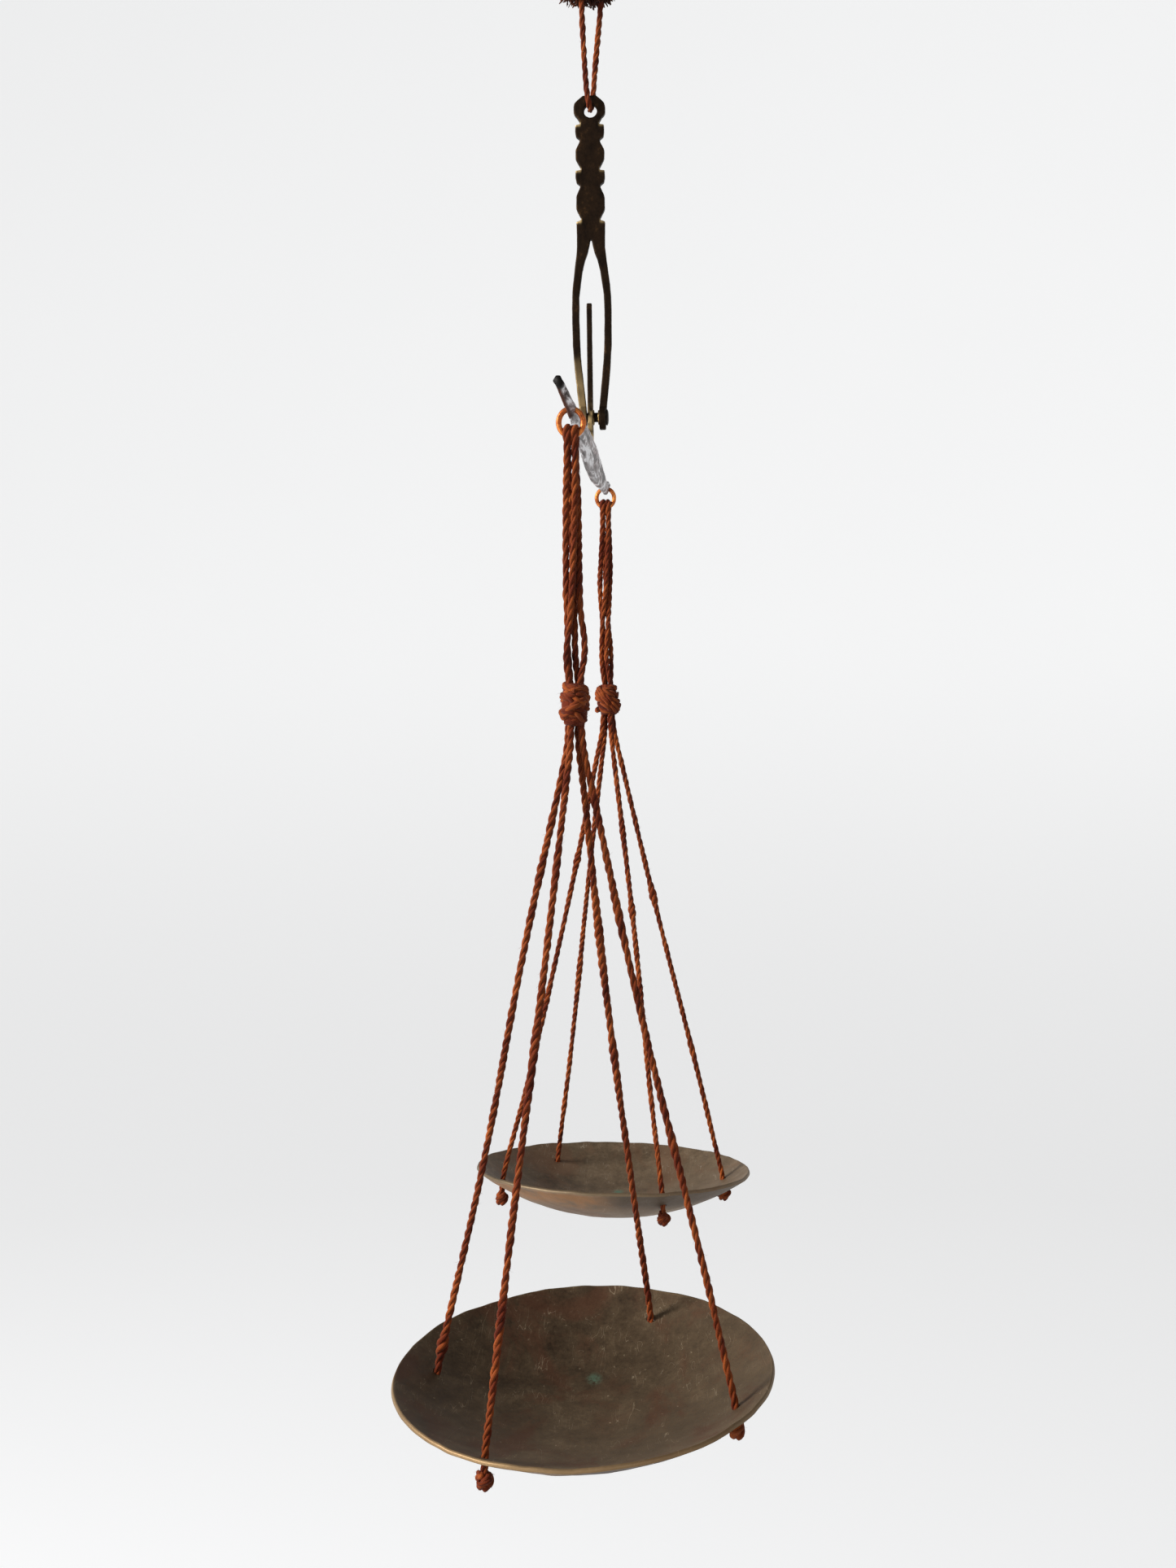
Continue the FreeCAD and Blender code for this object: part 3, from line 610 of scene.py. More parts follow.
def makeTuft(settings):
    chance = random.Random(5)
    centre = boxCentre("hand_tuft")
    yarn = Yarn()
    shares = np.linspace(-0.99, 0.99, 13)
    heights = shares * settings["tall"] / 2 * settings["inner"]
    radii = settings["radius"] * settings["inner"] * np.sqrt(1 - shares ** 4)
    core = np.array([centre + Vector((0, 0, height)) for height in heights])
    yarn.add(core, radii, 24, heights, np.full(len(core), 0.15))
    for number in range(settings["strands"]):
        turn, rise = chance.uniform(0, 2 * math.pi), chance.uniform(-1, 1)
        if number % 2:
            flat = math.sqrt(chance.uniform(0, 1))
            rise = math.copysign((1 - flat * flat) ** 0.25, rise)
        else:
            flat = math.sqrt(1 - rise ** 4)
        root = Vector((math.cos(turn) * flat * settings["radius"],
                       math.sin(turn) * flat * settings["radius"], rise * settings["tall"] / 2))
        here = centre + root * settings["inner"]
        out = Vector((math.cos(turn) * flat, math.sin(turn) * flat, rise ** 3)).normalized()
        heading = (out + Vector([chance.uniform(-0.9, 0.9) for axis in range(3)])).normalized()
        curl = Vector([chance.uniform(-1, 1) for axis in range(3)])
        length = chance.uniform(*settings["reach"])
        path = curled(here, heading, curl, 0.35, length, 6)
        radii = np.array(settings["shape"]) * (settings["strand"] * chance.uniform(0.6, 1.3))
        yarn.add(path, radii, 5, np.linspace(0, length, 6), np.full(6, chance.uniform(0.2, 0.7)),
                 number)
    stands(yarn.piece("handTuft", tuftMaterial), "hand_tuft", "suspension")


makeTuft(tuftSettings)
print("tuft made")


# Metal pieces: outlines in millimetres are cut from plate, then worn and marked by hand tools


def plate(outlines, thick, edge):
    # a flat plate with eased edges, from closed outlines: the first outside, the rest its holes
    curve = bpy.data.curves.new("plate", "CURVE")
    curve.dimensions = "2D"
    curve.fill_mode = "BOTH"
    curve.extrude = (thick / 2 - edge) * mm
    curve.bevel_depth = edge * mm
    curve.bevel_resolution = 2
    curve.offset = -edge * mm
    for outline in outlines:
        spline = curve.splines.new("POLY")
        spline.points.add(len(outline) - 1)
        for point, (across, up) in zip(spline.points, outline):
            point.co = (across * mm, up * mm, 0, 1)
        spline.use_cyclic_u = True
    holder = bpy.data.objects.new("plate", curve)
    mesh = bpy.data.meshes.new_from_object(holder)
    bpy.data.objects.remove(holder)
    bpy.data.curves.remove(curve)
    return mesh


def circle(radius, across=0, up=0, sides=40):
    turns = [2 * math.pi * side / sides for side in range(sides)]
    return [(across + radius * math.cos(turn), up + radius * math.sin(turn)) for turn in turns]


def mirrored(half):
    return half + [(-across, up) for across, up in reversed(half)]


def joined(parts):
    # several meshes, each with where it stands, as one mesh
    whole = bmesh.new()
    for mesh, matrix in parts:
        part = bmesh.new()
        part.from_mesh(mesh)
        bmesh.ops.remove_doubles(part, verts=part.verts, dist=1e-7)
        part.transform(matrix)
        bmesh.ops.recalc_face_normals(part, faces=part.faces)
        part.to_mesh(mesh)
        part.free()
        whole.from_mesh(mesh)
        bpy.data.meshes.remove(mesh)
    made = bpy.data.meshes.new("joined")
    whole.to_mesh(made)
    whole.free()
    return made


def solid(name, points, faces, weld=False):
    # a mesh with its faces turned outward, its doubled points welded if asked
    mesh = bpy.data.meshes.new(name)
    mesh.from_pydata(points, [], faces)
    shape = bmesh.new()
    shape.from_mesh(mesh)
    if weld:
        bmesh.ops.remove_doubles(shape, verts=shape.verts, dist=1e-7)
    bmesh.ops.recalc_face_normals(shape, faces=shape.faces)
    shape.to_mesh(mesh)
    shape.free()
    return mesh


def standing(aside, up=0):
    # where a flat outline stands upright, facing the front
    return Matrix(((1, 0, 0, 0), (0, 0, 1, aside * mm), (0, 1, 0, up * mm), (0, 0, 0, 1)))


def applied(mesh, *modifiers):
    # the mesh after some modifiers, each given as its kind and its settings
    holder = bpy.data.objects.new("holder", mesh)
    bpy.context.collection.objects.link(holder)
    for kind, settings in modifiers:
        modifier = holder.modifiers.new(kind.lower(), kind)
        for name, value in settings.items():
            setattr(modifier, name, value)
    seen = holder.evaluated_get(bpy.context.evaluated_depsgraph_get())
    made = bpy.data.meshes.new_from_object(seen)
    bpy.data.objects.remove(holder)
    bpy.data.meshes.remove(mesh)
    return made


def bored(mesh, places, radius, depth, segments):
    # holes cut by round rods, each with where it stands
    rods = bmesh.new()
    for matrix in places:
        bmesh.ops.create_cone(rods, cap_ends=True, segments=segments, radius1=radius * mm,
                              radius2=radius * mm, depth=depth * mm, matrix=matrix)
    cutter = bpy.data.meshes.new("cutter")
    rods.to_mesh(cutter)
    rods.free()
    tool = bpy.data.objects.new("cutter", cutter)
    bpy.context.collection.objects.link(tool)
    cut = {"object": tool, "solver": "EXACT", "operation": "DIFFERENCE"}
    mesh = applied(mesh, ("BOOLEAN", cut))
    bpy.data.objects.remove(tool)
    bpy.data.meshes.remove(cutter)
    return mesh


def pieced(mesh, grain):
    # one even skin over everything that overlaps in the mesh
    remesh = {"mode": "VOXEL", "voxel_size": grain * mm}
    return applied(mesh, ("REMESH", remesh), ("SMOOTH", {"factor": 0.5, "iterations": 2}))


def spotsAndNormals(mesh):
    spots, normals = np.empty((2, len(mesh.vertices) * 3))
    mesh.vertices.foreach_get("co", spots)
    mesh.vertices.foreach_get("normal", normals)
    return spots.reshape(-1, 3), normals.reshape(-1, 3)


def pushed(mesh, rise):
    # each point moves along its normal, by what rise says of its place in millimetres
    spots, normals = spotsAndNormals(mesh)
    lifts = np.array([rise(Vector(spot)) for spot in spots / mm])
    spots += normals * lifts[:, None] * mm
    mesh.vertices.foreach_set("co", spots.ravel())
    mesh.update()


def worn(mesh, depth, reach, fine, seed):
    # shallow dents and file marks
    offset = Vector((seed * 3.1, seed * 1.7, seed * 2.3))

    def rise(spot):
        spot = spot / reach + offset
        return depth * (noise.noise(spot) + fine * noise.noise(spot * 3.7))

    pushed(mesh, rise)


def valued(mesh, name, values):
    # a value at each point, for the finish to read
    mesh.attributes.new(name, "FLOAT", "POINT").data.foreach_set("value", values)


def clamped(value):
    return max(0.0, min(1.0, value))


def valuedBy(mesh, name, rule):
    valued(mesh, name, [clamped(rule(vertex.co / mm)) for vertex in mesh.vertices])


def edges(mesh, strength):
    # how much each point stands out from its neighbours, for wear on edges
    count = len(mesh.vertices)
    pairs = np.empty(len(mesh.edges) * 2, dtype=np.int32)
    mesh.edges.foreach_get("vertices", pairs)
    pairs = pairs.reshape(-1, 2)
    number = np.maximum(np.bincount(pairs.ravel(), minlength=count), 1)

    def around(values):
        total = np.zeros_like(values)
        np.add.at(total, pairs[:, 0], values[pairs[:, 1]])
        np.add.at(total, pairs[:, 1], values[pairs[:, 0]])
        return (total.T / number).T

    spots, normals = spotsAndNormals(mesh)
    size = np.linalg.norm(spots[pairs[:, 0]] - spots[pairs[:, 1]], axis=1).mean()
    out = np.clip(((spots - around(spots)) * normals).sum(axis=1) / size * strength, -1, 1)
    for turn in range(3):
        out = (out + around(out)) / 2
    valued(mesh, "edge", out)


def oldBrass(name, dark, mid, bright, scale=1.0, shine=0.42, metal=0.75):
    shade = Shade(name)
    place = shade.place()
    patches = shade.clouds(place, 260 * scale, 5, 0.62)
    spots = shade.clouds(place, 1500 * scale, 4, 0.7)
    grain = shade.clouds(shade.stretched(place, (900, 900, 240)), 1, 3)
    edge = shade.stored("edge")
    tone = patches * 0.6 + spots * 0.35 + grain * 0.2 + edge * 0.15 - 0.09
    colour = shade.ramp(tone, (0.3, dark), (0.56, mid), (0.8, bright))
    rubbedAndHighlight = (edge + spots * 0.5).above(0.75, 0.25)
    filed = shade.stored("filed")
    # filed marks, painted highlights and rubbed edges are mixed toward bright brass
    colour = shade.mix(filed * 0.95 + rubbedAndHighlight * 0.3, colour, (0.80, 0.56, 0.26))
    normal = shade.bump(spots + grain, 0.35, 0.00006)
    return shade.finish(Base_Color=colour, Metallic=metal, Normal=normal, Specular_IOR_Level=0.2,
                        Roughness=shine + spots * 0.25 - filed * 0.12)


darkBrass = oldBrass("darkBrass", (0.004, 0.002, 0.001), (0.019, 0.0095, 0.004),
                     (0.11, 0.052, 0.018))

# Shears: the plate that carries the pin in its fork

shearsSettings = {
    "thick": 2.0, "edge": 0.28, "grain": 0.13, "dents": 0.05,
    "eyeHole": 1.5,
    # half outline from the top down: across, then down from the hole
    "side": (
        (1.5, 3.45), (2.7, 2.5), (3.4, 1.75), (3.6, 1.0), (3.55, -0.5), (3.3, -1.0), (2.8, -1.5),
        (2.15, -2.65), (2.1, -2.9), (3.25, -3.15), (3.3, -4.55), (3.15, -5.7), (2.3, -6.4),
        (2.4, -7.0), (3.2, -8.5), (3.3, -8.9), (3.3, -10.6), (3.15, -11.0), (2.15, -12.8),
        (2.1, -13.2), (3.3, -13.4), (3.35, -14.8), (3.15, -16.0), (2.3, -16.7), (2.4, -17.3),
        (3.15, -18.9), (3.25, -19.4), (3.25, -21.9), (3.1, -22.4), (2.2, -24.1), (2.2, -24.5),
        (3.3, -24.9), (3.25, -26.6), (3.2, -30.35), (3.5, -33.3), (3.87, -36.15), (4.24, -38.95),
        (4.43, -41.75), (4.52, -44.5), (4.53, -47.35), (4.45, -52.95), (4.26, -55.75),
        (4.05, -58.55), (3.77, -61.35), (3.5, -64.15), (3.2, -66.95), (2.95, -69.2),
    ),
    "inside": (
        (1.45, -69.2), (1.5, -66.95), (2.05, -61.35), (2.35, -58.55), (2.62, -55.75),
        (2.75, -52.95), (2.9, -47.35), (2.83, -41.75), (2.45, -38.95), (2.05, -36.15),
        (1.35, -33.3), (0.78, -31.85), (0.4, -30.35), (0.12, -28.9),
    ),
    "fork": 2.9, "end": 1.5, "eye": 2.5, "pinHole": 1.1, "drop": 69.2,
    "notches": (2.85, 13.1, 24.6),
}


def tineEye(settings):
    # a flattened tine end: round, with a short rough tail below
    radius = settings["eye"]
    outline = []
    for step in range(48):
        turn = 2 * math.pi * step / 48
        ragged = 1 + 0.03 * math.sin(5 * turn + 1)
        tail = (0.45 * math.exp(-((turn - 4.55) / 0.28) ** 2)
                + 0.25 * math.exp(-((turn - 5.0) / 0.12) ** 2))
        outline.append(((radius * ragged + tail) * math.cos(turn),
                        (radius * ragged + tail) * math.sin(turn)))
    return [outline, circle(settings["pinHole"])]


def makeShears(settings):
    half = list(settings["side"] + settings["inside"])
    flat = plate([mirrored(half), circle(settings["eyeHole"], 0.25)], settings["thick"],
                 settings["edge"])
    upright = Matrix(((0, 0, 1, 0), (1, 0, 0, 0), (0, 1, 0, 0), (0, 0, 0, 1)))
    parts = [(flat, upright)]
    for side in (-1, 1):
        disc = plate(tineEye(settings), settings["end"], 0.25)
        aside = side * (settings["fork"] + settings["end"]) / 2
        parts.append((disc, standing(aside, -settings["drop"])))
    mesh = joined(parts)
    mesh = pieced(mesh, settings["grain"])
    worn(mesh, settings["dents"], 2.2, 0.4, 1)
    mesh.transform(Matrix.Translation(eyeHole))

    def filed(spot):
        spot = spot - eyeHole / mm
        marks = 0.0
        for depth in settings["notches"]:
            inward = 1.0 if spot.y < 0 else 0.45
            near = math.exp(-((spot.z + depth + 0.15) / 0.42) ** 2)
            marks = max(marks, near * inward * clamped((abs(spot.y) - 1.9) / 0.5))
        # painted highlight: a golden stripe on the lower part of the -Y tine, the side the key
        # light comes from
        if spot.y < 0:
            low = clamped((-54 - spot.z) / 8)
            marks = max(marks, 0.3 * low * (0.5 + noise.noise(spot * 0.35)))
        return marks

    valuedBy(mesh, "filed", filed)
    edges(mesh, 3)
    stands(place("shearsPlate", mesh, darkBrass), "shears", "shears")


makeShears(shearsSettings)


# Pin and washer: turned pieces on the beam's hinge


def turned(profile, centre, sides=48, wobble=0.0):
    # a closed turning about the pin's line, from rows of distance along it and radius
    line = np.array([centre + Vector((0, along * mm, 0)) for along, radius in profile])
    radii = np.array([radius for along, radius in profile]) * mm
    points, faces = [], []
    for number, (spot, radius) in enumerate(zip(line, radii)):
        for side in range(sides):
            turn = 2 * math.pi * side / sides
            uneven = noise.noise(Vector((math.cos(turn) * 2, math.sin(turn) * 2, number)))
            reach = radius * (1 + wobble * uneven)
            points.append((spot[0] + reach * math.cos(turn), spot[1],
                           spot[2] + reach * math.sin(turn)))
    rows = len(line)
    for row in range(rows):
        after = (row + 1) % rows
        if after == 0 and radii[0] * radii[-1] < 1e-12:
            continue
        for side in range(sides):
            beside = (side + 1) % sides
            faces.append((row * sides + side, after * sides + side, after * sides + beside,
                          row * sides + beside))
    return solid("turned", points, faces, True)


pinSettings = {
    "profile": (
        (-3.2, 0), (-3.18, 0.5), (-3.05, 0.9), (-2.9, 1.08), (-2.7, 1.1), (2.9, 1.1), (2.96, 1.6),
        (3.02, 1.78), (3.2, 1.84), (3.38, 1.72), (3.52, 1.3), (3.58, 0.7), (3.6, 0),
    ),
    "wobble": 0.07,
}
washerSettings = {
    "profile": (
        (1.15, 1.12), (1.15, 1.55), (1.18, 1.66), (1.25, 1.7), (1.35, 1.7), (1.42, 1.66),
        (1.45, 1.55), (1.45, 1.12),
    ),
    "wobble": 0.03,
}


def plainMetal(name, dark, light, shine, metal=1.0, scale=1.0):
    shade = Shade(name)
    place = shade.place()
    patches = shade.clouds(place, 500 * scale, 5, 0.6)
    spots = shade.clouds(place, 2400 * scale, 4, 0.7)
    colour = shade.ramp(patches * 0.7 + spots * 0.3, (0.38, dark), (0.62, light))
    return shade.finish(Base_Color=colour, Metallic=metal, Roughness=shine + patches * 0.3,
                        Normal=shade.bump(spots + patches, 0.3, 0.00005))


darkSteel = plainMetal("darkSteel", (0.006, 0.005, 0.005), (0.05, 0.038, 0.03), 0.3)
brightBrass = plainMetal("brightBrass", (0.30, 0.16, 0.05), (0.75, 0.5, 0.2), 0.15)

stands(place("pivotPin", turned(pinSettings["profile"], pin, 48, pinSettings["wobble"]), darkSteel),
       "pivot_pin", "shears")
stands(place("pivotWasher", turned(washerSettings["profile"], pin, 48, washerSettings["wobble"]),
             brightBrass), "pivot_washer", "shears")


# Tongue: the pointer, and its foot in the beam

tongueSettings = {
    "thick": 1.2, "edge": 0.2, "grain": 0.11, "dents": 0.03, "aside": -0.6,
    "side": (
        (0.3, 26), (0.62, 25.5), (0.68, 22), (0.85, 17), (1.05, 12), (1.3, 8), (1.6, 4),
        (1.85, 2.2), (2.1, 0), (2.1, -2), (2.05, -5), (2.0, -7.3),
    ),
    "boss": 1.7, "bossThick": 0.3, "bore": 1.15,
}


def makeTongue(settings):
    blade = plate([mirrored(list(settings["side"])), circle(settings["bore"])],
                  settings["thick"], settings["edge"])
    aside = settings["aside"]
    rise = settings["thick"] / 2 + settings["bossThick"]
    boss = plate([circle(settings["boss"]), circle(settings["bore"])], rise, 0.12)
    parts = [(blade, standing(aside)), (boss, standing(aside + rise / 2))]
    mesh = pieced(joined(parts), settings["grain"])
    worn(mesh, settings["dents"], 1.6, 0.4, 2)

    def filed(spot):
        near = math.exp(-((spot.z + 0.5) / 2.2) ** 2) * (0.5 + noise.noise(spot * 0.9))
        return max(near, 0.8 * math.exp(-((spot.z + 5.2) / 1.2) ** 2))

    valuedBy(mesh, "filed", filed)
    edges(mesh, 3)
    mesh.transform(Matrix.Translation(pin))
    stands(place("tonguePointer", mesh, darkBrass), "tongue", "beam")


makeTongue(tongueSettings)


# Beam: hexagonal in section, hammered thin toward its turned-up tips

beamSettings = {
    "aside": -0.6, "step": 0.4, "dents": 0.26, "hole": 0.8, "reach": 75, "hookDrop": 8.7,
    "bend": 1.7,  # how far the right tip leans to the front
    # stations: along, middle's height, half height, half thickness
    "stations": (
        (0, -9.3, 4.4, 1.42), (7, -9.3, 4.38, 1.4), (20, -9.2, 3.9, 1.36), (40, -9.0, 3.0, 1.2),
        (60, -8.8, 2.1, 1.02), (70, -8.7, 1.65, 0.95), (75, -8.7, 1.55, 0.95),
        (78, -8.0, 1.2, 0.92), (81, -6.8, 1.05, 0.9), (84, -5.3, 1.0, 0.92), (85, -4.9, 0.98, 0.9),
    ),
    "half": 85, "tipFrom": 76, "tipLong": 9, "leftTipLower": 1.9,
    # a quarter of the section, from the ridge at its side up: share of thickness and of height
    "section": (
        (1, 0), (0.97, 0.14), (0.84, 0.38), (0.68, 0.66), (0.52, 0.9), (0.36, 0.99), (0.12, 1),
    ),
}


def beamPaintedReflection():
    shade = Shade("beamPaintedReflectionMetal")
    place = shade.place()
    broad = shade.clouds(shade.stretched(place, (30, 250, 250)), 1, 4, 0.6, 0.6)
    patches = shade.clouds(shade.stretched(place, (75, 520, 520)), 1, 5, 0.65, 0.8)
    spots = shade.clouds(place, 2600, 3, 0.7)
    # the dark stops are the metal's own colour; the light grey is painted reflection of the pale
    # wall
    pale = shade.ramp(patches * 0.85 + spots * 0.15, (0.40, (0.035, 0.026, 0.023)),
                      (0.49, (0.25, 0.215, 0.21)), (0.57, (0.80, 0.79, 0.80)))
    warm = shade.mix((broad + spots * 0.2).above(0.68, 0.1) * 0.5, pale, (0.42, 0.27, 0.25))
    # painted shade: brown on all but the back of the right tip
    burnt = shade.stored("burnt")
    brown = shade.ramp(patches * 0.8 + spots * 0.3, (0.3, (0.012, 0.006, 0.004)),
                       (0.6, (0.085, 0.028, 0.015)), (0.85, (0.20, 0.09, 0.06)))
    rim = shade.stored("edge")
    bare = shade.mix(rim.above(0.35, 0.3) * 0.5, warm, (0.85, 0.85, 0.86))
    colour = shade.mix(burnt, bare, brown)
    # painted shade: the right end face near black
    colour = shade.mix(shade.stored("sooty"), colour, (0.005, 0.003, 0.002))
    return shade.finish(Base_Color=colour, Metallic=0.6 - burnt * 0.4, Specular_IOR_Level=0.3,
                        Roughness=0.42 + patches * 0.25 + burnt * 0.15,
                        Normal=shade.bump(patches + spots * 0.6, 0.5, 0.00009))


def tipLine(x):
    # how far aside the beam's middle is
    lean = max(0, x - beamSettings["tipFrom"]) / beamSettings["tipLong"]
    return beamSettings["aside"] - beamSettings["bend"] * lean * lean ** 0.3


def makeBeam(settings):
    rows = settings["stations"]
    along = [row[0] for row in rows]
    spots = np.arange(-settings["half"], settings["half"] + 0.001, settings["step"])
    middle, tall, thick = [np.interp(np.abs(spots), along, [row[axis] for row in rows])
                           for axis in (1, 2, 3)]
    lower = np.clip((-spots - settings["tipFrom"]) / settings["tipLong"], 0, 1)
    middle -= settings["leftTipLower"] * lower
    upper = mirrored(list(settings["section"]))
    section = upper + [(-across, -up) for across, up in upper[1:-1]]
    points = []
    for x, height, half, wide in zip(spots, middle, tall, thick):
        for across, up in section:
            points.append((x * mm, (tipLine(x) + wide * across) * mm, (height + half * up) * mm))
    mesh = solid("beam", points, bands(len(spots), len(section)))

    def hammered(spot):
        # flat marks: each lies in a shallow cell
        spot = Vector((spot.x / 11, spot.y / 2.2, spot.z / 2.6))
        return settings["dents"] * (noise.voronoi(spot)[0][0] - 0.35 + 0.35 * noise.noise(spot * 3))

    pushed(mesh, hammered)
    for side in (-1, 1):
        hook = Matrix.Translation((side * settings["reach"] * mm, settings["aside"] * mm,
                                   -settings["hookDrop"] * mm))
        mesh = bored(mesh, [hook @ Matrix.Rotation(math.pi / 2, 4, "X")], settings["hole"], 6, 32)

    def burnt(spot):
        # painted shade: near black at the right end, and brown on all but the back of the right tip
        facing = clamped((tipLine(spot.x) + 0.45 - spot.y) / 0.4)
        tip = (spot.x - 72.5 + 1.5 * noise.noise(spot * 0.6)) / 2.5
        return min(1, tip) * facing

    valuedBy(mesh, "burnt", burnt)
    # painted shade on the right end face
    valuedBy(mesh, "sooty", lambda spot: (spot.x - 83.7) / 0.6)
    edges(mesh, 2)
    mesh.transform(Matrix.Translation(pin))
    stands(place("beamArm", mesh, beamPaintedReflection()), "beam", "beam")


makeBeam(beamSettings)


# Rings: bent from wire, their ends butted together inside the beam's end

ringSettings = {"radius": 2.55, "wire": 0.55, "gap": 0.035, "uneven": 0.05, "sides": 14}


def copper():
    shade = Shade("copperWire")
    place = shade.place()
    patches = shade.clouds(place, 420, 4, 0.6)
    spots = shade.clouds(place, 2600, 4, 0.7)
    colour = shade.ramp(patches * 0.7 + spots * 0.35, (0.36, (0.12, 0.022, 0.006)),
                        (0.52, (0.42, 0.105, 0.022)), (0.7, (0.85, 0.34, 0.08)))
    return shade.finish(Base_Color=colour, Metallic=0.8, Roughness=0.32 + patches * 0.25,
                        Normal=shade.bump(spots + patches, 0.25, 0.00005))


def makeRing(side, settings, material, seed):
    open = settings["gap"]
    turns = np.linspace(open, 2 * math.pi - open, 110)
    points = []
    for turn in turns:
        spot = Vector((math.sin(turn), math.cos(turn), seed))
        radius = settings["radius"] + settings["uneven"] * noise.noise(spot * 1.3)
        sway = 0.08 * noise.noise(spot * 1.1 + Vector((7, 0, 0)))
        points.append(ringCentre[side] + Vector((sway, 0.93 * radius * math.sin(turn),
                                                 radius * math.cos(turn))) * mm)
    radii = settings["wire"] * mm * (1 + 0.05 * wander(turns, seed, 0.6))
    radii[[0, -1]] *= 0.86
    yarn = Yarn()
    yarn.add(np.array(points), radii, settings["sides"], turns * mm, np.full(len(turns), 0.5))
    stands(yarn.piece(f"{side}WireRing", material), f"{side}_ring", f"{side}_ring")


copperWire = copper()
for sideNumber, side in enumerate(("right", "left")):
    makeRing(side, ringSettings, copperWire, 4 + sideNumber)
print("metal pieces made")


# Pans: beaten dishes with four holes each

panSettings = {
    "radius": 37.5, "deep": 12, "sheet": 0.9, "holeRadius": 31.2, "bore": 0.8,
    "rings": 78, "spokes": 300, "dents": 0.16, "wave": 0.35, "rimFrom": 26, "rimWide": 11.5,
    "right": {"drop": 131, "lean": 6.8, "cant": 2.0, "holes": (72, 156, 256, 327), "seed": 1,
              "highlightFacing": -0.7},
    "left": {"drop": 129.2, "lean": -3.9, "cant": -1.6, "holes": (27, 102, 213.5, 286), "seed": 2,
             "highlightFacing": -1.2},
}


def panMatrix(side):
    own = panSettings[side]
    centre = knotCentre[side] - Vector((0, 0, own["drop"] * mm))
    lean = Matrix.Rotation(math.radians(own["lean"]), 4, "Y")
    cant = Matrix.Rotation(math.radians(own["cant"]), 4, "X")
    return Matrix.Translation(centre) @ lean @ cant


def panFinish(name, settings):
    shade = Shade(name)
    place = shade.place()
    broad = shade.clouds(place, settings["broad"], 3, 0.5, 0.5)
    patches = shade.clouds(place, 190, 6, 0.62, 0.3)
    spots = shade.clouds(place, 1100, 5, 0.72)
    dirt = shade.clouds(place, 3200, 2, 0.6)
    tone = broad * 0.35 + patches * 0.45 + spots * 0.35 - 0.08
    colour = shade.ramp(tone, (0.34, settings["dark"]), (0.54, settings["mid"]),
                        (0.76, settings["light"]))
    # painted sheen: each pan is lighter toward its front right
    colour = shade.mix(shade.stored("pale") * 0.5, colour, settings["light"])
    rust = shade.clouds(place, 55, 4, 0.6, 1.0)
    colour = shade.mix((rust + spots * 0.15).above(0.64, 0.09) * settings["rustiness"], colour,
                       settings["rust"])
    # fine scratches: thin lines where stretched noise crosses its middle
    scratch = shade.clouds(shade.stretched(place, (60, 420, 200)), 1, 1, 0.4, 1.5)
    line = (scratch - 0.5) * (scratch - 0.5)
    fine = (0.0016 - line * 40).above(0.0008, 0.0008) * patches.above(0.52, 0.06)
    colour = shade.mix(fine * 0.35, colour, settings["bright"])
    specks = shade.cells(place, 520)
    flecks = (0.16 - specks).above(0.04, 0.05) * spots.above(0.6, 0.06)
    colour = shade.mix(flecks * 0.6, colour, settings["bright"])
    colour = shade.mix(dirt.above(0.66, 0.05) * 0.5, colour, settings["dark"])
    green = shade.stored("green")
    colour = shade.mix(green * (patches * 0.6 + spots * 0.8).above(0.62, 0.12), colour,
                       (0.10, 0.17, 0.11))
    # painted highlight on the rim
    rim = shade.stored("rim")
    colour = shade.mix(rim * (0.45 + patches * 0.8), colour, settings["rimHighlightTone"])
    # painted light on the front of the outer wall, then painted shade on the rest of it
    under = shade.stored("under")
    colour = shade.mix(under * patches.above(0.42, 0.2) * 0.85, colour, settings["wallLitTone"])
    colour = shade.mix(shade.stored("shaded") * 0.8, colour, settings["dark"])
    height = patches * 0.8 + spots * 0.5 - fine * 0.4
    return shade.finish(Base_Color=colour, Metallic=0.55, Specular_IOR_Level=0.25,
                        Roughness=0.5 + spots * 0.25 - rim * 0.15,
                        Normal=shade.bump(height, 0.45, 0.00012))


panFinishes = {
    "right": {
        "broad": 22, "dark": (0.024, 0.013, 0.006), "mid": (0.080, 0.051, 0.027),
        "light": (0.18, 0.125, 0.072), "rust": (0.09, 0.033, 0.016), "rustiness": 0.55,
        "bright": (0.42, 0.33, 0.22), "rimHighlightTone": (0.30, 0.19, 0.09),
        "wallLitTone": (0.16, 0.085, 0.035),
    },
    "left": {
        "broad": 26, "dark": (0.052, 0.034, 0.020), "mid": (0.150, 0.102, 0.060),
        "light": (0.26, 0.185, 0.115), "rust": (0.17, 0.085, 0.045), "rustiness": 0.5,
        "bright": (0.5, 0.42, 0.32), "rimHighlightTone": (0.17, 0.12, 0.07),
        "wallLitTone": (0.30, 0.14, 0.05),
    },
}


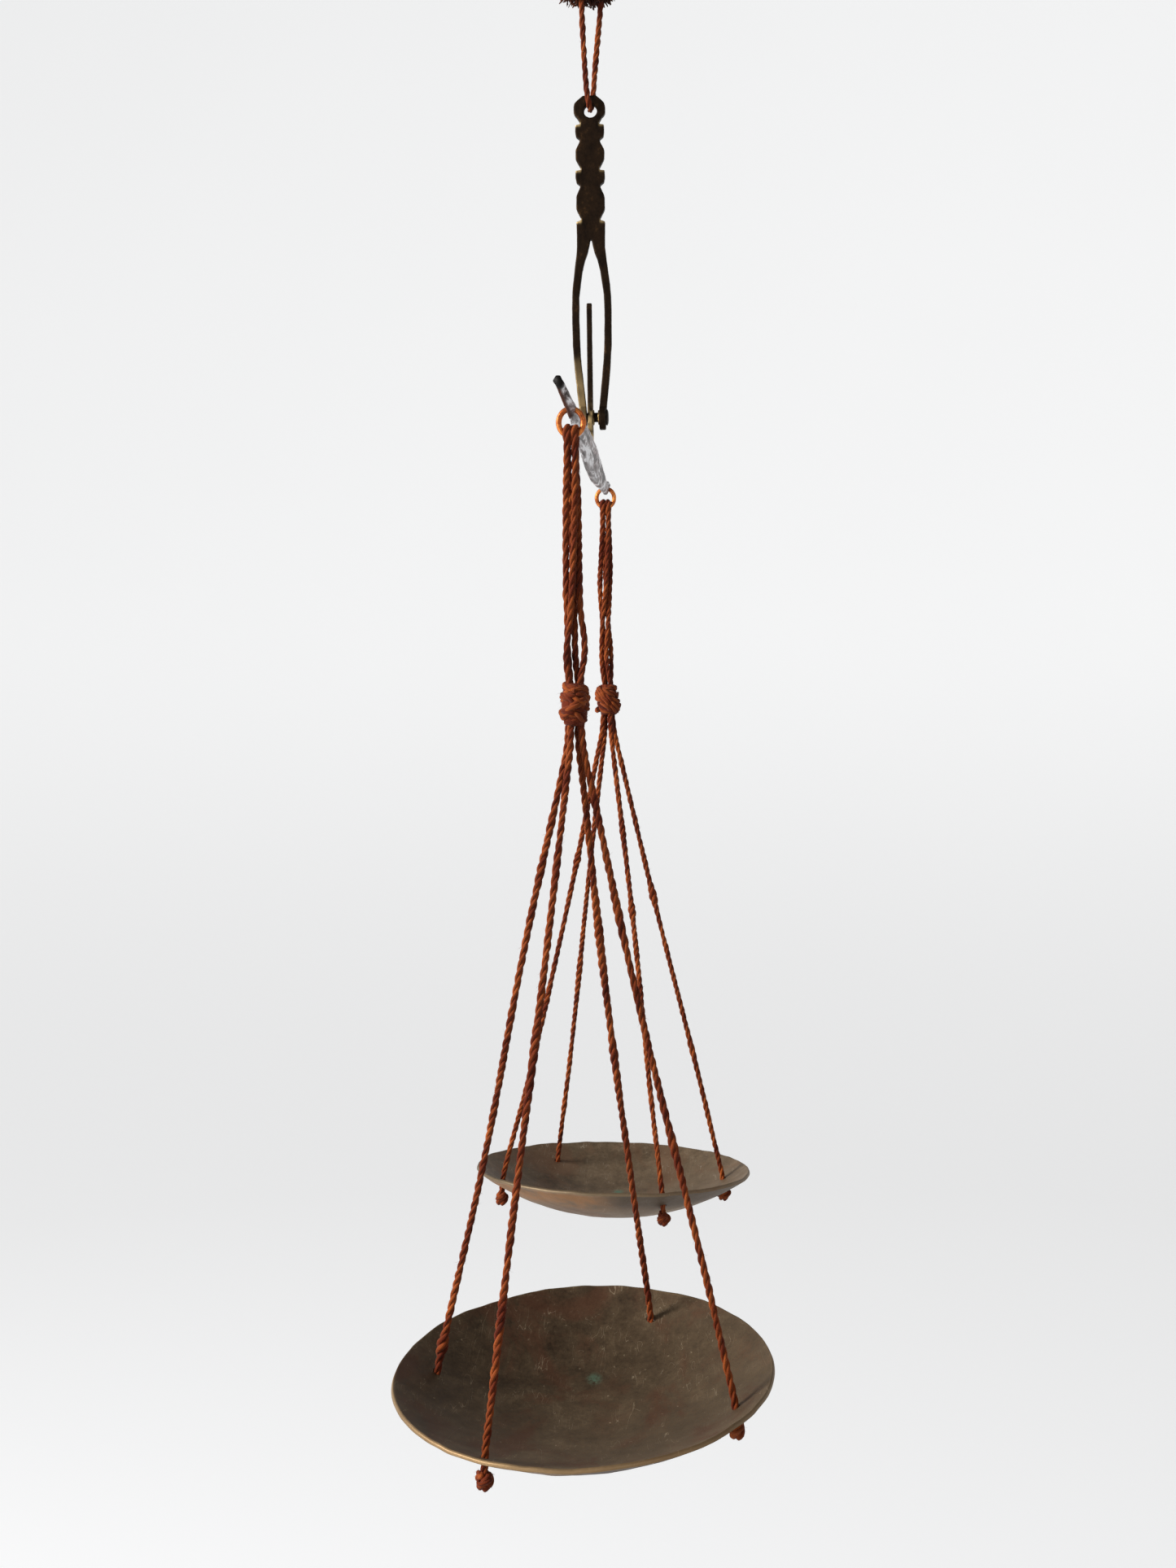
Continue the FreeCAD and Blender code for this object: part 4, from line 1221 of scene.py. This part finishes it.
def makePan(side):
    settings, own = panSettings, panSettings[side]
    ball = (settings["radius"] ** 2 + settings["deep"] ** 2) / (2 * settings["deep"])
    rimTurn = math.asin(settings["radius"] / ball)
    spokes, rings = settings["spokes"], settings["rings"]
    points, faces = [], []

    def skin(radius, spread):
        start = len(points)
        points.append((0, 0, ball - settings["deep"] - radius))
        for ring in range(1, rings + 1):
            share = 1 - (1 - ring / rings) ** 1.25
            for spoke in range(spokes):
                turn = 2 * math.pi * spoke / spokes
                out = share * rimTurn * spread
                points.append((radius * math.sin(out) * math.cos(turn),
                               radius * math.sin(out) * math.sin(turn),
                               ball - settings["deep"] - radius * math.cos(out)))
        for spoke in range(spokes):
            beside = (spoke + 1) % spokes
            faces.append((start, start + 1 + spoke, start + 1 + beside))
            for ring in range(rings - 1):
                first, second = start + 1 + ring * spokes, start + 1 + (ring + 1) * spokes
                faces.append((first + spoke, second + spoke, second + beside, first + beside))
        return start + 1 + (rings - 1) * spokes

    outerRim = skin(ball, 1.0)
    innerRim = skin(ball - settings["sheet"], 1.004)
    for spoke in range(spokes):
        beside = (spoke + 1) % spokes
        faces.append((outerRim + spoke, outerRim + beside, innerRim + beside, innerRim + spoke))
    shaped = []
    for x, y, z in points:
        out = math.hypot(x, y)
        spot = Vector((x / 6.5, y / 6.5, own["seed"] * 5.0))
        cell = noise.voronoi(Vector((x / 5.0, y / 5.0, own["seed"] * 3.0)))[0][0]
        dent = settings["dents"] * (noise.noise(spot) + 0.5 * (cell - 0.4)
                                    + 0.35 * noise.noise(spot * 2.6))
        turn = math.atan2(y, x)
        nearRim = max(0, (out - settings["rimFrom"]) / settings["rimWide"])
        wave = settings["wave"] * nearRim * nearRim * (
            noise.noise(Vector((math.cos(turn) * 2.2, math.sin(turn) * 2.2, own["seed"] * 4.0)))
            + 0.4 * noise.noise(Vector((math.cos(turn) * 9, math.sin(turn) * 9, own["seed"]))))
        widen = 1 + 0.006 * nearRim * noise.noise(Vector((math.cos(turn) * 3, math.sin(turn) * 3,
                                                          own["seed"] + 9.0)))
        shaped.append((x * widen * mm, y * widen * mm, (z + dent + wave) * mm))
    mesh = solid("pan", shaped, faces)
    stringHoles = []
    inward = panMatrix(side).inverted()
    knotFoot = inward @ (knotCentre[side] - Vector((0, 0, 7 * mm)))
    for angle in own["holes"]:
        turn, out = math.radians(angle), settings["holeRadius"]
        sheetMiddle = ball - settings["sheet"] / 2
        hole = Vector((math.cos(turn) * out, math.sin(turn) * out,
                       ball - settings["deep"] - math.sqrt(sheetMiddle ** 2 - out ** 2))) * mm
        slant = (knotFoot - hole).to_track_quat("Z", "Y").to_matrix().to_4x4()
        stringHoles.append(Matrix.Translation(hole) @ slant)
    mesh = bored(mesh, stringHoles, settings["bore"], 5, 28)

    def rubbedAndHighlight(spot):
        # painted highlight on the outer rim, strongest where it faces the key light at the turn
        # given, weaker all round
        highlightFacing = 0.25 + 0.75 * max(0, math.cos(math.atan2(spot.y, spot.x) - own["highlightFacing"]))
        return (math.hypot(spot.x, spot.y) - 36.75) / 0.45 * highlightFacing

    valuedBy(mesh, "rim", rubbedAndHighlight)
    valuedBy(mesh, "green", lambda spot: 1.2 - math.hypot(spot.x + 15, spot.y - 1) / 1.6)
    # painted sheen: lighter toward the front right
    valuedBy(mesh, "pale", lambda spot: 0.35 + (0.6 * spot.x + 0.5 * spot.y) / 45)
    outside = [vertex.normal.z < -0.3 for vertex in mesh.vertices]
    # painted light on the outer wall near the rim, brightest to the front, and painted shade on the
    # rest of that wall
    walls = [out * clamped((vertex.co.z / mm + 6.5) / 3)
             for out, vertex in zip(outside, mesh.vertices)]
    frontward = [clamped(0.5 - vertex.co.y / mm / 8) for vertex in mesh.vertices]
    valued(mesh, "under", [wall * share for wall, share in zip(walls, frontward)])
    valued(mesh, "shaded", [wall * (1 - share) for wall, share in zip(walls, frontward)])
    mesh.transform(panMatrix(side))
    stands(place(f"{side}Pan", mesh, panFinish(f"{side}PanBrass", panFinishes[side])),
           f"{side}_pan", f"{side}_pan_set")


for side in ("right", "left"):
    makePan(side)
print("pans made")


# Stage: one pale sweep under and all round, a soft key light from the left, and a weak fill

stageSettings = {
    "floorDrop": 0.85, "radius": 3.2, "bend": 1.2, "height": 2.6, "tone": (0.80, 0.80, 0.80),
    "glow": 0.545,
    "key": {"at": (0.55, -1.5, 0.45), "size": 0.6, "power": 44},
    "fill": {"at": (1.5, 0.9, 0.3), "size": 1.2, "power": 2.5},
    "low": {"at": (0.5, -0.7, -0.75), "size": 0.9, "power": 4},
    "sky": 0.26,
}


def makeStage(settings):
    rows = [(0.001, 0), (settings["radius"] - settings["bend"], 0)]
    for step in range(1, 13):
        turn = math.pi / 2 * step / 12
        rows.append((settings["radius"] - settings["bend"] * (1 - math.sin(turn)),
                     settings["bend"] * (1 - math.cos(turn))))
    rows.append((settings["radius"], settings["height"]))
    sides = 96
    points = []
    for out, up in rows:
        for side in range(sides):
            turn = 2 * math.pi * side / sides
            points.append((out * math.cos(turn), out * math.sin(turn), up - settings["floorDrop"]))
    mesh = bpy.data.meshes.new("sweep")
    mesh.from_pydata(points, [], bands(len(rows), sides, False))
    shade = Shade("paleWall")
    rough = shade.clouds(shade.place(), 3, 3)
    paint = shade.ramp(rough, (0.3, tuple(0.985 * value for value in settings["tone"])),
                       (0.7, settings["tone"]))
    height = shade.node("ShaderNodeSeparateXYZ", None, [shade.place()], 2)
    # painted shade: the sweep is darker toward the bottom, to offset the lamps' light on the floor
    paint = shade.mix(height.above(-0.45, 0.4), (0.53, 0.53, 0.535), paint)
    sweep = place("sweep", mesh, shade.finish(Base_Color=paint, Roughness=0.9,
                                              Emission_Color=(1, 1, 0.995),
                                              Emission_Strength=settings["glow"]))
    sweep.visible_diffuse = False
    for name in ("key", "fill", "low"):
        own = settings[name]
        lamp = bpy.data.lights.new(name, "AREA")
        lamp.shape = "DISK"
        lamp.size = own["size"]
        lamp.energy = own["power"]
        light = bpy.data.objects.new(name, lamp)
        light.location = own["at"]
        aim = Vector((0, 0, -0.2)) - light.location
        light.rotation_euler = aim.to_track_quat("-Z", "Y").to_euler()
        bpy.context.collection.objects.link(light)
    world = bpy.data.worlds.new("sky")
    world.use_nodes = True
    background = world.node_tree.nodes["Background"]
    background.inputs["Color"].default_value = (0.95, 0.97, 1, 1)
    background.inputs["Strength"].default_value = settings["sky"]
    bpy.context.scene.world = world
    bpy.context.scene.view_settings.view_transform = "Standard"


makeStage(stageSettings)
print("stage made")
